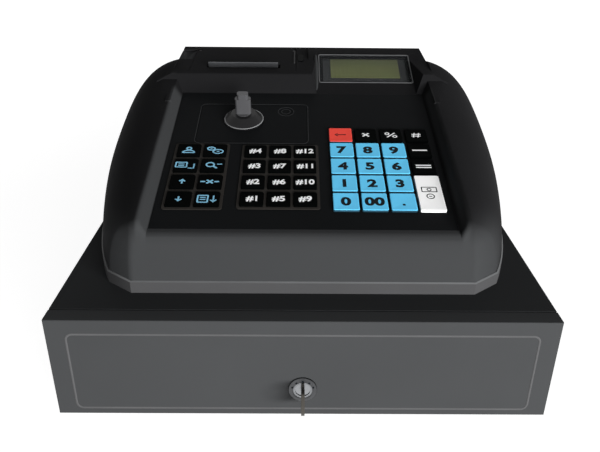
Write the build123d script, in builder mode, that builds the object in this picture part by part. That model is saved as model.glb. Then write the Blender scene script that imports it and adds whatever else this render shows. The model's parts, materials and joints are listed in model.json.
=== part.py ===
from build123d import *
import math
import os

# Cash register on its own cash drawer, in millimetres.
# +X is the operator's right, -Y is the operator's side and +Z is up.  The origin
# lies under the middle of the footprint, on the surface that the feet stand on.
# Heights and depths of the register itself are measured from its datum: the
# drawer's front face and the drawer's top.

os.makedirs("parts", exist_ok=True)

# ---------------------------------------------------------------- clearances
seat_gap = 0.3          # between a piece and the opening it drops into
run_gap = 0.05          # radial, shaft in bore
slide_gap = 0.5         # between sliding members
key_gap = 0.25          # key cap in its window

# ---------------------------------------------------------------- drawer sizes
case_width = 330.0
case_depth = 360.0      # front face of the drawer to the back of its case
case_height = 75.6
case_sheet = 1.2
foot_height = 5.0
foot_radius = 9.0
foot_inset = 28.0
front_sheet = 1.5
front_fold = 12.0       # depth of the folded edges of the front
front_gap = 0.6         # between the front's folded edge and the case
outline_inset_side = 12.5
outline_inset_top = 10.0
outline_inset_bottom = 4.6
outline_line = 1.2
outline_depth = 0.4
outline_corner = 5.0
rail_width = 9.0
rail_height = 26.0
rail_sheet = 1.2
runner_width = 6.5
tray_sheet = 1.0
tray_height = 62.0
tray_lift = 3.0         # tray floor above the case floor
drawer_travel = 240.0
rail_engaged = 52.0     # of the runners, with the drawer fully out

# Till insert: note bays behind, two rows of coin cups in front.
insert_height = 50.0
insert_wall = 2.0
note_bays = 4
note_bay_length = 158.0
coin_rows = 2
cup_radius = 14.0       # scooped end of a coin cup
clip_shaft_radius = 2.0
clip_arm_width = 22.0
clip_arm_sheet = 1.6
clip_reach = 96.0
clip_axis_drop = 7.0    # shaft below the insert's rim

# Drawer lock
lock_drop = 53.4        # below the drawer's top
lock_radius = 8.0
lock_face_radius = 9.5
lock_face_height = 1.8
lock_length = 9.0       # behind the panel's face
plug_radius = 5.0
key_out = 22.0          # the key stands this far proud of the drawer front
bow_radius = 8.5
bow_sheet = 2.2
blade_height = 6.4
bow_hole_radius = 2.6
cam_length = 15.0
cam_width = 8.0
cam_sheet = 2.0

# Release solenoid
solenoid_width = 34.0
solenoid_depth = 30.0
solenoid_height = 26.0
latch_width = 8.0
latch_height = 12.0

# ---------------------------------------------------------------- register sizes
wall = 3.0
band_height = 9.0       # base pan, below the housing
foot_drop = 5.0         # the forms are cut from this far below the pan
band_proud = 1.0        # the pan's rim stands out past the housing
band_chamfer = 0.9
pan_floor = 2.5
deck_tilt = 15.47       # degrees
deck_rise = 29.4        # deck plane above the datum, at the datum's depth
deck_back = 217.0       # where the deck meets the riser
riser_depth = 9.0
riser_height = 15.0
top_back = 305.0        # rear edge of the printer deck
top_rise = 7.5          # from the riser's top edge to that rear edge
rear_foot = 327.0       # foot of the rear face
block_half = 114.0      # half width of the printer deck
flank_half = 127.0      # where its front corners run out into the cheeks
flank_drop = 6.0
flank_run = 40.0        # depth over which they run out
riser_clear = 60.0      # depth cleared in front of the riser, above the deck field
shoulder_half = 100.0   # half width of the flat top of the shell's sections
shoulder_rise = 10.0    # crest of the cheeks above the deck
fullness = 0.66         # of the cheek's curve; 0.55 is a quarter ellipse
apron_front = 34.3
apron_crease = 24.0     # height of the soft crease
apron_crease_back = 1.5
apron_top = 60.0
apron_top_back = 9.9
crease_round = 20.0
apron_round = 7.0       # top edge of the apron
ridge_round = 8.0       # upright edges of the apron and its facets
rim_round = 4.0         # top edges of the cheeks, along the deck
riser_round = 3.0
rear_round = 5.0        # upright rear edges of the cheeks
edge_reach = 4.0        # how far an edge's middle may lie from where the sizes put it
facet_half = 116.0      # where the apron turns into its corner facets
facet_run = 18.0
facet_turn = 14.7
deck_half = 104.0
recess_flare = 6.5
recess_flare_height = 10.0

# Half width of the shell's foot at each depth, front to rear.
shell_depths = (14.0, 49.0, 74.0, 113.0, 152.0, 200.0, 245.0, 285.0, 334.0)
shell_halves = (117.0, 134.0, 144.5, 155.0, 162.5, 167.5, 167.5, 163.0, 152.0)
# Height of the crest behind the deck, at the last three of those depths.
rear_crests = (109.0, 101.0, 81.0)

# Key panel and keys
panel_sheet = 2.5
panel_front = 48.0      # front edge of the panel, along the deck
panel_ledge = 4.0
panel_boss_radius = 3.0
rib_rise = 0.7
rib_width = 2.2
key_rise = 1.8
key_travel = 2.2
flange_sheet = 1.5
flange_lap = 0.5
stem_side = 6.0
stem_length = 2.0
switch_radius = 2.6
switch_height = 1.9
board_sheet = 1.6
key_corner = 0.8

# Key groups: middle of the first key (lowest row, leftmost column), pitches and size.
left_x, left_t = -87.3, 77.4
left_pitch_x, left_pitch_t = 19.95, 19.6
left_width, left_height = 17.4, 16.0
middle_x, middle_t = -36.3, 77.9
middle_pitch_x, middle_pitch_t = 18.8, 19.2
middle_width, middle_height = 16.4, 15.2
number_x, number_t = 29.6, 75.6
number_pitch_x, number_pitch_t = 20.0, 20.75
number_width, number_height = 18.1, 18.7
small_width, small_height = 17.2, 16.8
tall_height = 39.6

# Mode lock on the panel
mode_x, mode_t = -48.2, 181.5
mode_dome_radius = 16.0
mode_dome_height = 7.0
mode_dome_taper = 45.0  # degrees
mode_rim = 1.5
mode_barrel_radius = 9.0
mode_barrel_length = 20.0
mode_plug_radius = 6.0
mode_bow_width = 12.4
mode_bow_sheet = 6.0
mode_bow_height = 13.0
mode_tip_width = 8.8
mode_tip_height = 4.6
seal_x, seal_t = -14.0, 195.0
seal_radius = 6.0
seal_depth = 0.5
fiscal_left, fiscal_right = -85.0, 4.0
fiscal_front, fiscal_back = 148.5, 206.0
fiscal_corner = 4.0
fiscal_line = 0.8

# Operator's display, set in a notch in the riser
display_tilt = 21.0     # degrees
notch_left = 12.0
notch_right = 99.0
notch_left_flare = 4.0
notch_right_flare = 7.0
notch_flare_height = 12.0
hood_depth = 276.0      # where the display face meets the hood's top
hood_left = 5.5
hood_right = 106.5
window_width = 84.0
window_height = 45.0
window_sheet = 2.0
window_x = 56.6
window_t = 38.8
window_frame = 4.0
lcd_sheet = 7.0
rear_window_rise = 84.0
rear_window_height = 26.0

# Printer
cover_left = -100.0
cover_right = -6.0
cover_front = 7.0       # along the printer deck, from the riser's top edge
cover_hinge = 71.0
cover_sheet = 3.0
hinge_radius = 2.6
slot_centre = 20.5      # along the printer deck
slot_length = 62.0
slot_width = 6.0
paper_width = 57.0
roll_radius = 21.0
roll_core_radius = 6.5
scoop_x = -107.4        # finger scoop beside the printer cover
scoop_front = 263.4
scoop_back = 295.0
scoop_half = 7.2
scoop_depth = 1.8
roll_depth = 276.0
roll_height = 78.0
platen_radius = 6.0
platen_shaft_radius = 2.5
platen_depth = 243.0
platen_height = 91.0
printer_wall = 2.5
head_sheet = 4.0
tear_sheet = 1.2
tear_height = 3.8
pin_radius = 1.3
gear_width = 4.0

# Main board and power unit, on the base pan
board_x = 72.0
board_width = 124.0
board_depth = 90.0
board_rise = 6.0
power_x = -62.0
power_width = 80.0
power_depth = 62.0
power_height = 38.0
boss_radius = 4.0
jack_width = 16.0
jack_height = 13.0
jack_count = 3
jack_pitch = 26.0
vent_x = 58.0
vent_rise = 56.0
vent_count = 14
vent_pitch = 6.0
vent_length = 26.0
vent_width = 3.0

# ---------------------------------------------------------------- placement
front_y = key_out / 2 - case_depth / 2
rear_y = front_y + case_depth
case_bottom = foot_height
case_top = case_bottom + case_height
mid_y = (front_y + rear_y) / 2
far = case_width + case_depth


def tan_deg(angle):
    return math.tan(math.radians(angle))


def deck_height(depth):
    """Height of the deck above the datum, at a depth."""
    return deck_rise + depth * tan_deg(deck_tilt)


def sloped_plane(depth, height, tilt):
    """A plane that rises to the rear: local x is +X, local y runs up its slope."""
    normal = (0, -math.sin(math.radians(tilt)), math.cos(math.radians(tilt)))
    return Plane(origin=(0, front_y + depth, case_top + height), x_dir=(1, 0, 0), z_dir=normal)


def cross_plane(depth, height, tilt):
    """Across such a slope: local x is +X, local y stands square off the slope."""
    along = (0, -math.cos(math.radians(tilt)), -math.sin(math.radians(tilt)))
    return Plane(origin=(0, front_y + depth, case_top + height), x_dir=(1, 0, 0), z_dir=along)


deck_plane = sloped_plane(0, deck_rise, deck_tilt)
deck_cross = cross_plane(0, deck_rise, deck_tilt)
deck_foot = deck_height(deck_back)
top_front = deck_back + riser_depth
top_height = deck_foot + riser_height
top_slope = top_rise / (top_back - top_front)
riser_lean = riser_depth / riser_height
top_tilt = math.degrees(math.atan(top_slope))
rim_x = deck_half + recess_flare
top_plane = sloped_plane(top_front, top_height, top_tilt)
display_plane = sloped_plane(deck_back, deck_foot, display_tilt)
display_cross = cross_plane(deck_back, deck_foot, display_tilt)
panel_back = deck_back / math.cos(math.radians(deck_tilt)) - 1.0


def raised(plane, height):
    """The same plane, lifted along its normal."""
    return plane.offset(height)


def at(depth, height):
    """A point of the register's side view, as (Y, Z)."""
    return (front_y + depth, case_top + height)


# ---------------------------------------------------------------- drawer case
inner_width = case_width - 2 * case_sheet
case_front = front_y + front_fold + front_gap
rail_bottom = case_bottom + case_sheet + 16.0
rail_length = rear_y - case_front - 20.0

with BuildPart() as drawer_case:
    with BuildSketch(Plane.XZ.offset(-case_front)) as outside:
        with Locations((0, case_bottom + case_height / 2)):
            Rectangle(case_width, case_height)
    extrude(amount=-(rear_y - case_front))
    with BuildSketch(Plane.XZ.offset(-case_front)) as inside:
        with Locations((0, case_bottom + case_height / 2)):
            Rectangle(inner_width, case_height - 2 * case_sheet)
    extrude(amount=-(rear_y - case_front - case_sheet), mode=Mode.SUBTRACT)
    # A channel rail is welded to each side, open towards the tray.
    with BuildSketch(Plane.XZ.offset(-case_front - 2)) as rails:
        for side in (-1, 1):
            rail_x = side * (inner_width / 2 - rail_width / 2)
            with Locations((rail_x, rail_bottom + rail_height / 2)):
                Rectangle(rail_width, rail_height)
            hollow_x = side * (inner_width / 2 - rail_sheet - rail_width / 2)
            with Locations((hollow_x, rail_bottom + rail_height / 2)):
                Rectangle(rail_width, rail_height - 2 * rail_sheet, mode=Mode.SUBTRACT)
    extrude(amount=-rail_length)
drawer_case.part.label = "drawer_case"
export_step(drawer_case.part, "parts/drawer_case.step")

with BuildPart() as rubber_feet:
    with BuildSketch(Plane.XY) as feet:
        with Locations((0, mid_y)):
            with GridLocations(case_width - 2 * foot_inset, case_depth - 2 * foot_inset - 2 * front_fold, 2, 2):
                Circle(foot_radius)
    extrude(amount=foot_height)
    chamfer(rubber_feet.edges().group_by(Axis.Z)[0], foot_height / 5)
rubber_feet.part.label = "rubber_feet"
export_step(rubber_feet.part, "parts/rubber_feet.step")

# ---------------------------------------------------------------- drawer front
front_middle = case_bottom + case_height / 2
lock_z = case_top - lock_drop
outline_width = case_width - 2 * outline_inset_side
outline_height = case_height - outline_inset_top - outline_inset_bottom
outline_z = case_bottom + outline_inset_bottom + outline_height / 2

with BuildPart() as drawer_front:
    with BuildSketch(Plane.XZ.offset(-front_y)) as face:
        with Locations((0, front_middle)):
            Rectangle(case_width, case_height)
    extrude(amount=-front_fold)
    fillet(drawer_front.edges().group_by(Axis.Y)[0], front_sheet / 2)
    with BuildSketch(Plane.XZ.offset(-front_y - front_sheet)) as hollow:
        with Locations((0, front_middle)):
            Rectangle(case_width - 2 * front_sheet, case_height - 2 * front_sheet)
    extrude(amount=-front_fold, mode=Mode.SUBTRACT)
    with BuildSketch(Plane.XZ.offset(-front_y)) as groove:
        with Locations((0, outline_z)):
            RectangleRounded(outline_width, outline_height, outline_corner)
            RectangleRounded(
                outline_width - 2 * outline_line,
                outline_height - 2 * outline_line,
                outline_corner - outline_line,
                mode=Mode.SUBTRACT,
            )
    extrude(amount=-outline_depth, mode=Mode.SUBTRACT)
    with BuildSketch(Plane.XZ.offset(-front_y)) as lock_hole:
        with Locations((0, lock_z)):
            Circle(lock_radius + seat_gap / 2)
    extrude(amount=-front_sheet, mode=Mode.SUBTRACT)
drawer_front.part.label = "drawer_front"
export_step(drawer_front.part, "parts/drawer_front.step")

# ---------------------------------------------------------------- drawer tray
tray_depth = drawer_travel + rail_engaged
tray_width = inner_width - 2 * rail_width - 2 * slide_gap
tray_bottom = case_bottom + case_sheet + tray_lift
tray_front = front_y + front_sheet
runner_height = rail_height - 2 * rail_sheet - 2 * slide_gap

with BuildPart() as drawer_tray:
    with BuildSketch(Plane.XY.offset(tray_bottom)) as tray_outside:
        with Locations((0, case_front + tray_depth / 2)):
            Rectangle(tray_width, tray_depth)
    extrude(amount=tray_height)
    with BuildSketch(Plane.XY.offset(tray_bottom + tray_sheet)) as tray_inside:
        with Locations((0, case_front + tray_depth / 2)):
            Rectangle(tray_width - 2 * tray_sheet, tray_depth - 2 * tray_sheet)
    extrude(amount=tray_height, mode=Mode.SUBTRACT)
    # Moving members of the rails, riveted to the tray's sides.
    with BuildSketch(Plane.XZ.offset(-case_front - 6)) as runners:
        for side in (-1, 1):
            with Locations((side * (tray_width / 2 + runner_width / 2), rail_bottom + rail_height / 2)):
                Rectangle(runner_width, runner_height)
    extrude(amount=-(tray_depth - 12))
    # Two brackets carry the drawer front.
    bracket_gap = case_front - tray_front
    with BuildSketch(Plane.XY.offset(tray_bottom + 4)) as brackets:
        with Locations((0, tray_front + bracket_gap / 2)):
            with GridLocations(tray_width - 60, 0, 2, 1):
                Rectangle(30, bracket_gap)
    extrude(amount=tray_height - 12)
drawer_tray.part.label = "drawer_tray"
export_step(drawer_tray.part, "parts/drawer_tray.step")

# ---------------------------------------------------------------- till insert
insert_width = tray_width - 2 * tray_sheet - 2 * seat_gap
insert_depth = tray_depth - 2 * tray_sheet - 2 * seat_gap
insert_front = case_front + tray_sheet + seat_gap
insert_bottom = tray_bottom + tray_sheet
insert_top = insert_bottom + insert_height
bay_width = (insert_width - (note_bays + 1) * insert_wall) / note_bays
bay_pitch = bay_width + insert_wall
cups_depth = insert_depth - note_bay_length - 2 * insert_wall
cup_depth = (cups_depth - coin_rows * insert_wall) / coin_rows
cup_pitch = cup_depth + insert_wall
clip_y = insert_front + insert_depth - insert_wall - 10.0
clip_z = insert_top - clip_axis_drop

with BuildPart() as till_insert:
    with BuildSketch(Plane.XY.offset(insert_bottom)) as insert_outside:
        with Locations((0, insert_front + insert_depth / 2)):
            Rectangle(insert_width, insert_depth)
    extrude(amount=insert_height)
    bays_y = insert_front + insert_depth - insert_wall - note_bay_length / 2
    with BuildSketch(Plane.XY.offset(insert_bottom + insert_wall)) as bays:
        with Locations((0, bays_y)):
            with GridLocations(bay_pitch, 0, note_bays, 1):
                Rectangle(bay_width, note_bay_length)
    extrude(amount=insert_height, mode=Mode.SUBTRACT)
    # Coin cups: scooped round in side view, so that a finger brings the coins up.
    for row in range(coin_rows):
        row_y = insert_front + insert_wall + cup_depth / 2 + row * cup_pitch
        with BuildSketch(Plane.XY.offset(insert_bottom + insert_wall)) as cups:
            with Locations((0, row_y)):
                with GridLocations(bay_pitch, 0, note_bays, 1):
                    Rectangle(bay_width, cup_depth)
        extrude(amount=insert_height, mode=Mode.SUBTRACT)
    cup_floor = till_insert.edges().filter_by(Axis.X).filter_by(
        lambda edge: abs(edge.center().Z - insert_bottom - insert_wall) < 0.01
        and edge.center().Y < insert_front + cups_depth
    )
    fillet(cup_floor, cup_radius)
    # The clips' shaft runs through the walls between the bays.
    with BuildSketch(Plane.YZ.offset(-insert_width / 2 + insert_wall)) as shaft_holes:
        with Locations((clip_y, clip_z)):
            Circle(clip_shaft_radius + run_gap)
    extrude(amount=insert_width - 2 * insert_wall, mode=Mode.SUBTRACT)
till_insert.part.label = "till_insert"
export_step(till_insert.part, "parts/till_insert.step")

# ---------------------------------------------------------------- note clips
clip_drop = clip_z - insert_bottom - insert_wall - clip_arm_sheet - slide_gap
clip_run = math.sqrt(clip_reach**2 - clip_drop**2)

with BuildPart() as note_clips:
    with BuildSketch(Plane.YZ.offset(-insert_width / 2 + insert_wall + seat_gap)) as shaft:
        with Locations((clip_y, clip_z)):
            Circle(clip_shaft_radius)
    extrude(amount=insert_width - 2 * insert_wall - 2 * seat_gap)
    for bay in range(note_bays):
        bay_x = (bay - (note_bays - 1) / 2) * bay_pitch
        with BuildSketch(Plane.YZ.offset(bay_x - clip_arm_width / 2)) as arm:
            with BuildLine():
                Polyline(
                    (clip_y, clip_z - clip_arm_sheet),
                    (clip_y, clip_z),
                    (clip_y - clip_run, clip_z - clip_drop + clip_arm_sheet),
                    (clip_y - clip_run - 10, clip_z - clip_drop + 2 * clip_arm_sheet),
                    (clip_y - clip_run - 10, clip_z - clip_drop + clip_arm_sheet),
                    (clip_y - clip_run, clip_z - clip_drop),
                    close=True,
                )
            make_face()
        extrude(amount=clip_arm_width)
        with BuildSketch(Plane.YZ.offset(bay_x - clip_arm_width / 2)) as hub:
            with Locations((clip_y, clip_z)):
                Circle(clip_shaft_radius + clip_arm_sheet)
        extrude(amount=clip_arm_width)
note_clips.part.label = "note_clips"
export_step(note_clips.part, "parts/note_clips.step")

# ---------------------------------------------------------------- drawer lock
with BuildPart() as drawer_lock:
    with BuildSketch(Plane.XZ.offset(-front_y)) as lock_face:
        with Locations((0, lock_z)):
            Circle(lock_face_radius)
    extrude(amount=lock_face_height)
    fillet(drawer_lock.edges().group_by(Axis.Y)[0], lock_face_height / 2)
    with BuildSketch(Plane.XZ.offset(-front_y)) as lock_body:
        with Locations((0, lock_z)):
            Circle(lock_radius)
    extrude(amount=-lock_length)
    # A nut clamps the lock to the back of the panel.
    with BuildSketch(Plane.XZ.offset(-front_y - front_sheet)) as lock_nut:
        with Locations((0, lock_z)):
            RegularPolygon(lock_radius + 4, 6)
    extrude(amount=-3)
    with BuildSketch(Plane.XZ.offset(-front_y + lock_face_height)) as plug_bore:
        with Locations((0, lock_z)):
            Circle(plug_radius + run_gap)
    extrude(amount=-far / 4, mode=Mode.SUBTRACT)
drawer_lock.part.label = "drawer_lock"
export_step(drawer_lock.part, "parts/drawer_lock.step")

cam_y = front_y + lock_length + seat_gap
bow_y = front_y - key_out + bow_radius

with BuildPart() as drawer_key:
    with BuildSketch(Plane.XZ.offset(-front_y + lock_face_height - 0.6)) as plug:
        with Locations((0, lock_z)):
            Circle(plug_radius)
    extrude(amount=-(cam_y - front_y + lock_face_height - 0.6))
    with BuildSketch(Plane.XZ.offset(-cam_y)) as cam:
        with Locations((0, lock_z + (cam_length - cam_width) / 2)):
            SlotOverall(cam_length, cam_width, rotation=90)
        with Locations((0, lock_z)):
            Circle(plug_radius - 1, mode=Mode.ADD)
    extrude(amount=-cam_sheet)
    # The blade and the round bow stand upright in the lock.
    with BuildSketch(Plane.YZ.offset(-bow_sheet / 2)) as bow:
        with Locations(((front_y + bow_y) / 2, lock_z)):
            Rectangle(front_y - bow_y, blade_height)
        with Locations((bow_y, lock_z)):
            Circle(bow_radius)
        with Locations((bow_y - bow_radius / 3, lock_z)):
            Circle(bow_hole_radius, mode=Mode.SUBTRACT)
    extrude(amount=bow_sheet)
drawer_key.part.label = "drawer_key"
export_step(drawer_key.part, "parts/drawer_key.step")

# ---------------------------------------------------------------- release solenoid
solenoid_front = case_front + tray_depth + 12.0
solenoid_floor = case_bottom + case_sheet

with BuildPart() as release_solenoid:
    with BuildSketch(Plane.XY.offset(solenoid_floor)) as frame_foot:
        with Locations((0, solenoid_front + solenoid_depth / 2)):
            Rectangle(solenoid_width + 20, solenoid_depth)
    extrude(amount=1.5)
    with BuildSketch(Plane.XY.offset(solenoid_floor + 1.5)) as coil:
        with Locations((0, solenoid_front + solenoid_depth / 2)):
            RectangleRounded(solenoid_width, solenoid_depth, 4)
    extrude(amount=solenoid_height)
    # Plunger and latch hook reach towards the tray's rear wall.
    with BuildSketch(Plane.XY.offset(solenoid_floor + 10)) as latch:
        with Locations((0, solenoid_front - 5)):
            Rectangle(latch_width, 12)
    extrude(amount=latch_height)
release_solenoid.part.label = "release_solenoid"
export_step(release_solenoid.part, "parts/release_solenoid.step")

# ---------------------------------------------------------------- base pan


def foot_outline(inset):
    """Closed outline of the register's foot on the drawer, drawn in by inset."""
    nose = front_y + apron_front + inset
    corner = (facet_half + facet_run - inset, nose + facet_turn)
    turn = facet_half - inset * (1 - facet_turn / facet_run)
    sides = [(half - inset, front_y + depth) for half, depth in zip(shell_halves[2:], shell_depths[2:])]
    sides[-1] = (sides[-1][0], front_y + rear_foot - inset)
    right = [corner] + sides
    left = [(-x, y) for x, y in reversed(right)]
    with BuildSketch() as outline:
        with BuildLine():
            Polyline(left[-1], (-turn, nose), (turn, nose), right[0])
            Spline(*right)
            Line(right[-1], left[0])
            Spline(*left)
        make_face()
    return outline.sketch


board_y = front_y + 262.0
power_y = front_y + 120.0

with BuildPart() as base_pan:
    with BuildSketch(Plane.XY.offset(case_top)) as pan:
        add(foot_outline(-band_proud))
    extrude(amount=band_height)
    chamfer(base_pan.edges().group_by(Axis.Z)[-1], band_chamfer)
    with BuildSketch(Plane.XY.offset(case_top + pan_floor)) as pan_hollow:
        add(foot_outline(wall - band_proud))
    extrude(amount=band_height, mode=Mode.SUBTRACT)
    # Bosses carry the main board.
    with BuildSketch(Plane.XY.offset(case_top + pan_floor)) as bosses:
        with Locations((board_x, board_y)):
            with GridLocations(board_width - 12, board_depth - 12, 2, 2):
                Circle(boss_radius)
    extrude(amount=board_rise)
base_pan.part.label = "base_pan"
export_step(base_pan.part, "parts/base_pan.step")

# ---------------------------------------------------------------- housing


def field_cut(side_points, cross, cross_points, growth):
    """What a sunk field takes away: its side view carried across, met by its cross
    section carried along the slope, both grown by growth."""
    with BuildPart() as cut:
        with BuildSketch(Plane.YZ) as side_view:
            with BuildLine():
                Polyline(*side_points, close=True)
            make_face()
            offset(amount=growth, kind=Kind.INTERSECTION)
        extrude(amount=case_width, both=True)
        with BuildSketch(cross) as section:
            with BuildLine():
                Polyline(*cross_points, close=True)
            make_face()
            offset(amount=growth, kind=Kind.INTERSECTION)
        extrude(amount=far, both=True, mode=Mode.INTERSECT)
    return cut.part


def deck_field(growth, sink):
    """The open space over the deck, from the apron to the riser."""
    sky = apron_top + case_height
    side_points = (
        at(-20, deck_height(-20) - sink),
        at(deck_back, deck_foot - sink),
        at(deck_back + riser_lean * (sky - deck_foot), sky),
        at(-20, sky),
    )
    cross_points = (
        (-deck_half, -sink),
        (deck_half, -sink),
        (rim_x, recess_flare_height),
        (rim_x, sky),
        (-rim_x, sky),
        (-rim_x, recess_flare_height),
    )
    return field_cut(side_points, deck_cross, cross_points, growth)


def display_notch(growth, sink):
    """The notch in the riser that holds the operator's display."""
    slope = tan_deg(display_tilt)
    sky = apron_top + case_height
    side_points = (
        at(deck_back, deck_foot - sink),
        at(hood_depth + 20, deck_foot + (hood_depth + 20 - deck_back) * slope - sink),
        at(hood_depth + 20, sky),
        at(deck_back, sky),
    )
    cross_points = (
        (notch_left, -sink),
        (notch_right, -sink),
        (notch_right + notch_right_flare, notch_flare_height),
        (notch_right + notch_right_flare, sky),
        (notch_left - notch_left_flare, sky),
        (notch_left - notch_left_flare, notch_flare_height),
    )
    return field_cut(side_points, display_cross, cross_points, growth)


def apron_cutter(plane, growth):
    """Everything in front of the apron's profile, on a plane whose x points inwards."""
    foot_back = apron_crease_back * (foot_drop + band_height) / (apron_crease - band_height)
    with BuildPart() as cutter:
        with BuildSketch(plane) as profile:
            with BuildLine():
                Polyline(
                    (-60, -foot_drop),
                    (-foot_back, -foot_drop),
                    (apron_crease_back, apron_crease),
                    (apron_top_back, apron_top),
                    (-60, apron_top),
                    close=True,
                )
            make_face()
            offset(amount=growth, kind=Kind.INTERSECTION)
            fillet(profile.vertices().sort_by(lambda v: abs(v.Y - apron_crease))[0], crease_round)
        extrude(amount=case_width, both=True)
    return cutter.part


def shell_envelope(inset, sink):
    """The register's outer form, drawn in by inset, with the deck sunk by sink."""
    crests = [deck_height(depth) + shoulder_rise for depth in shell_depths[:-3]]
    crests.extend(rear_crests)
    with BuildPart() as envelope:
        for depth, half, crest in zip(shell_depths, shell_halves, crests):
            foot = half - inset
            crown = crest - inset
            with BuildSketch(Plane.XZ.offset(-front_y - depth)) as section:
                with BuildLine():
                    for side in (-1, 1):
                        Bezier(
                            (side * foot, case_top),
                            (side * foot, case_top + fullness * crown),
                            (side * (shoulder_half + fullness * (foot - shoulder_half)), case_top + crown),
                            (side * shoulder_half, case_top + crown),
                        )
                    Line((-foot, case_top), (foot, case_top))
                    Line((-shoulder_half, case_top + crown), (shoulder_half, case_top + crown))
                make_face()
        loft()
        # Block under the printer deck, and the low hood behind the display.
        with BuildSketch(Plane.YZ) as block:
            with BuildLine():
                Polyline(
                    at(deck_back - 30, band_height),
                    at(deck_back - 30, top_height),
                    at(top_back, top_height + top_rise),
                    at(rear_foot, band_height),
                    close=True,
                )
            make_face()
            offset(amount=-inset, kind=Kind.INTERSECTION)
        extrude(amount=block_half - inset, both=True)
        # Nothing else stands above the printer deck between its two edges.
        with BuildSketch(Plane.YZ) as above_deck:
            with BuildLine():
                Polyline(
                    at(deck_back - 30, top_height - (riser_depth + 30) * top_slope),
                    at(top_back + 40, top_height + top_rise + 40 * top_slope),
                    at(top_back + 40, apron_top + case_height),
                    at(deck_back - 30, apron_top + case_height),
                    close=True,
                )
            make_face()
            offset(amount=inset, kind=Kind.INTERSECTION)
        extrude(amount=block_half + inset, both=True, mode=Mode.SUBTRACT)
        hood_height = deck_foot + (hood_depth - deck_back) * tan_deg(display_tilt)
        with BuildSketch(Plane.YZ.offset(hood_left + inset)) as hood:
            with BuildLine():
                Polyline(
                    at(deck_back, deck_foot),
                    at(hood_depth, hood_height),
                    at(top_back, top_height + top_rise),
                    at(top_back, band_height),
                    at(deck_back, band_height),
                    close=True,
                )
            make_face()
            offset(amount=-inset, kind=Kind.INTERSECTION)
        extrude(amount=hood_right - hood_left - 2 * inset)
        # Rear face
        with BuildSketch(Plane.YZ) as behind:
            with BuildLine():
                Polyline(
                    at(rear_foot, -foot_drop),
                    at(rear_foot, band_height),
                    at(top_back, top_height + top_rise),
                    at(top_back - 4, top_height + top_rise + 20),
                    at(rear_foot + 60, top_height + top_rise + 20),
                    at(rear_foot + 60, -foot_drop),
                    close=True,
                )
            make_face()
            offset(amount=inset, kind=Kind.INTERSECTION)
        extrude(amount=case_width, both=True, mode=Mode.SUBTRACT)
        add(deck_field(inset, sink), mode=Mode.SUBTRACT)
        add(display_notch(inset, 0), mode=Mode.SUBTRACT)
        # Apron and its two corner facets
        nose = front_y + apron_front
        apron_plane = Plane(origin=(0, nose, case_top), x_dir=(0, 1, 0), z_dir=(1, 0, 0))
        add(apron_cutter(apron_plane, inset), mode=Mode.SUBTRACT)
        facet_length = math.hypot(facet_run, facet_turn)
        for side in (-1, 1):
            inwards = (-side * facet_turn / facet_length, facet_run / facet_length, 0)
            along = (facet_run / facet_length, side * facet_turn / facet_length, 0)
            facet_plane = Plane(origin=(side * facet_half, nose, case_top), x_dir=inwards, z_dir=along)
            add(apron_cutter(facet_plane, inset), mode=Mode.SUBTRACT)
    return envelope.part


def middles_within(low, high):
    """Picks edges by their middle: its distance from the middle plane, depth and height."""

    def inside(edge):
        middle = edge.center()
        place = (abs(middle.X), middle.Y - front_y, middle.Z - case_top)
        return all(a - edge_reach <= b <= c + edge_reach for a, b, c in zip(low, place, high))

    return inside


def flank(side):
    """Sloping corner between the riser and a cheek, in line with the riser."""
    with BuildPart() as corner:
        with BuildSketch(Plane.XY.offset(case_top + band_height)) as plan:
            with BuildLine():
                Polyline(
                    (side * (block_half - wall), front_y + deck_back - riser_depth),
                    (side * flank_half, front_y + deck_back - riser_depth),
                    (side * flank_half, front_y + top_front),
                    (side * (block_half - wall), front_y + top_front + flank_run),
                    close=True,
                )
            make_face()
        extrude(amount=case_height + apron_top)
        with BuildSketch(Plane.YZ) as side_view:
            with BuildLine():
                Polyline(
                    at(deck_back, deck_foot),
                    at(top_front, top_height),
                    at(top_back, top_height + top_rise),
                    at(top_back, apron_top),
                    at(deck_back, apron_top),
                    close=True,
                )
            make_face()
        extrude(amount=case_width, both=True, mode=Mode.INTERSECT)
        with BuildSketch(cross_plane(top_front, top_height, top_tilt)) as slope:
            with BuildLine():
                Polyline(
                    (side * block_half, 0),
                    (side * (2 * flank_half - block_half), -2 * flank_drop),
                    (side * case_width, 0),
                    (side * case_width, case_height),
                    (side * block_half, case_height),
                    close=True,
                )
            make_face()
        extrude(amount=far, both=True, mode=Mode.SUBTRACT)
    return corner.part


facet_back = apron_front + facet_turn
clear_start = deck_back - riser_clear
top_end = top_height + top_rise
inner_form = shell_envelope(wall, panel_sheet)

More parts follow.
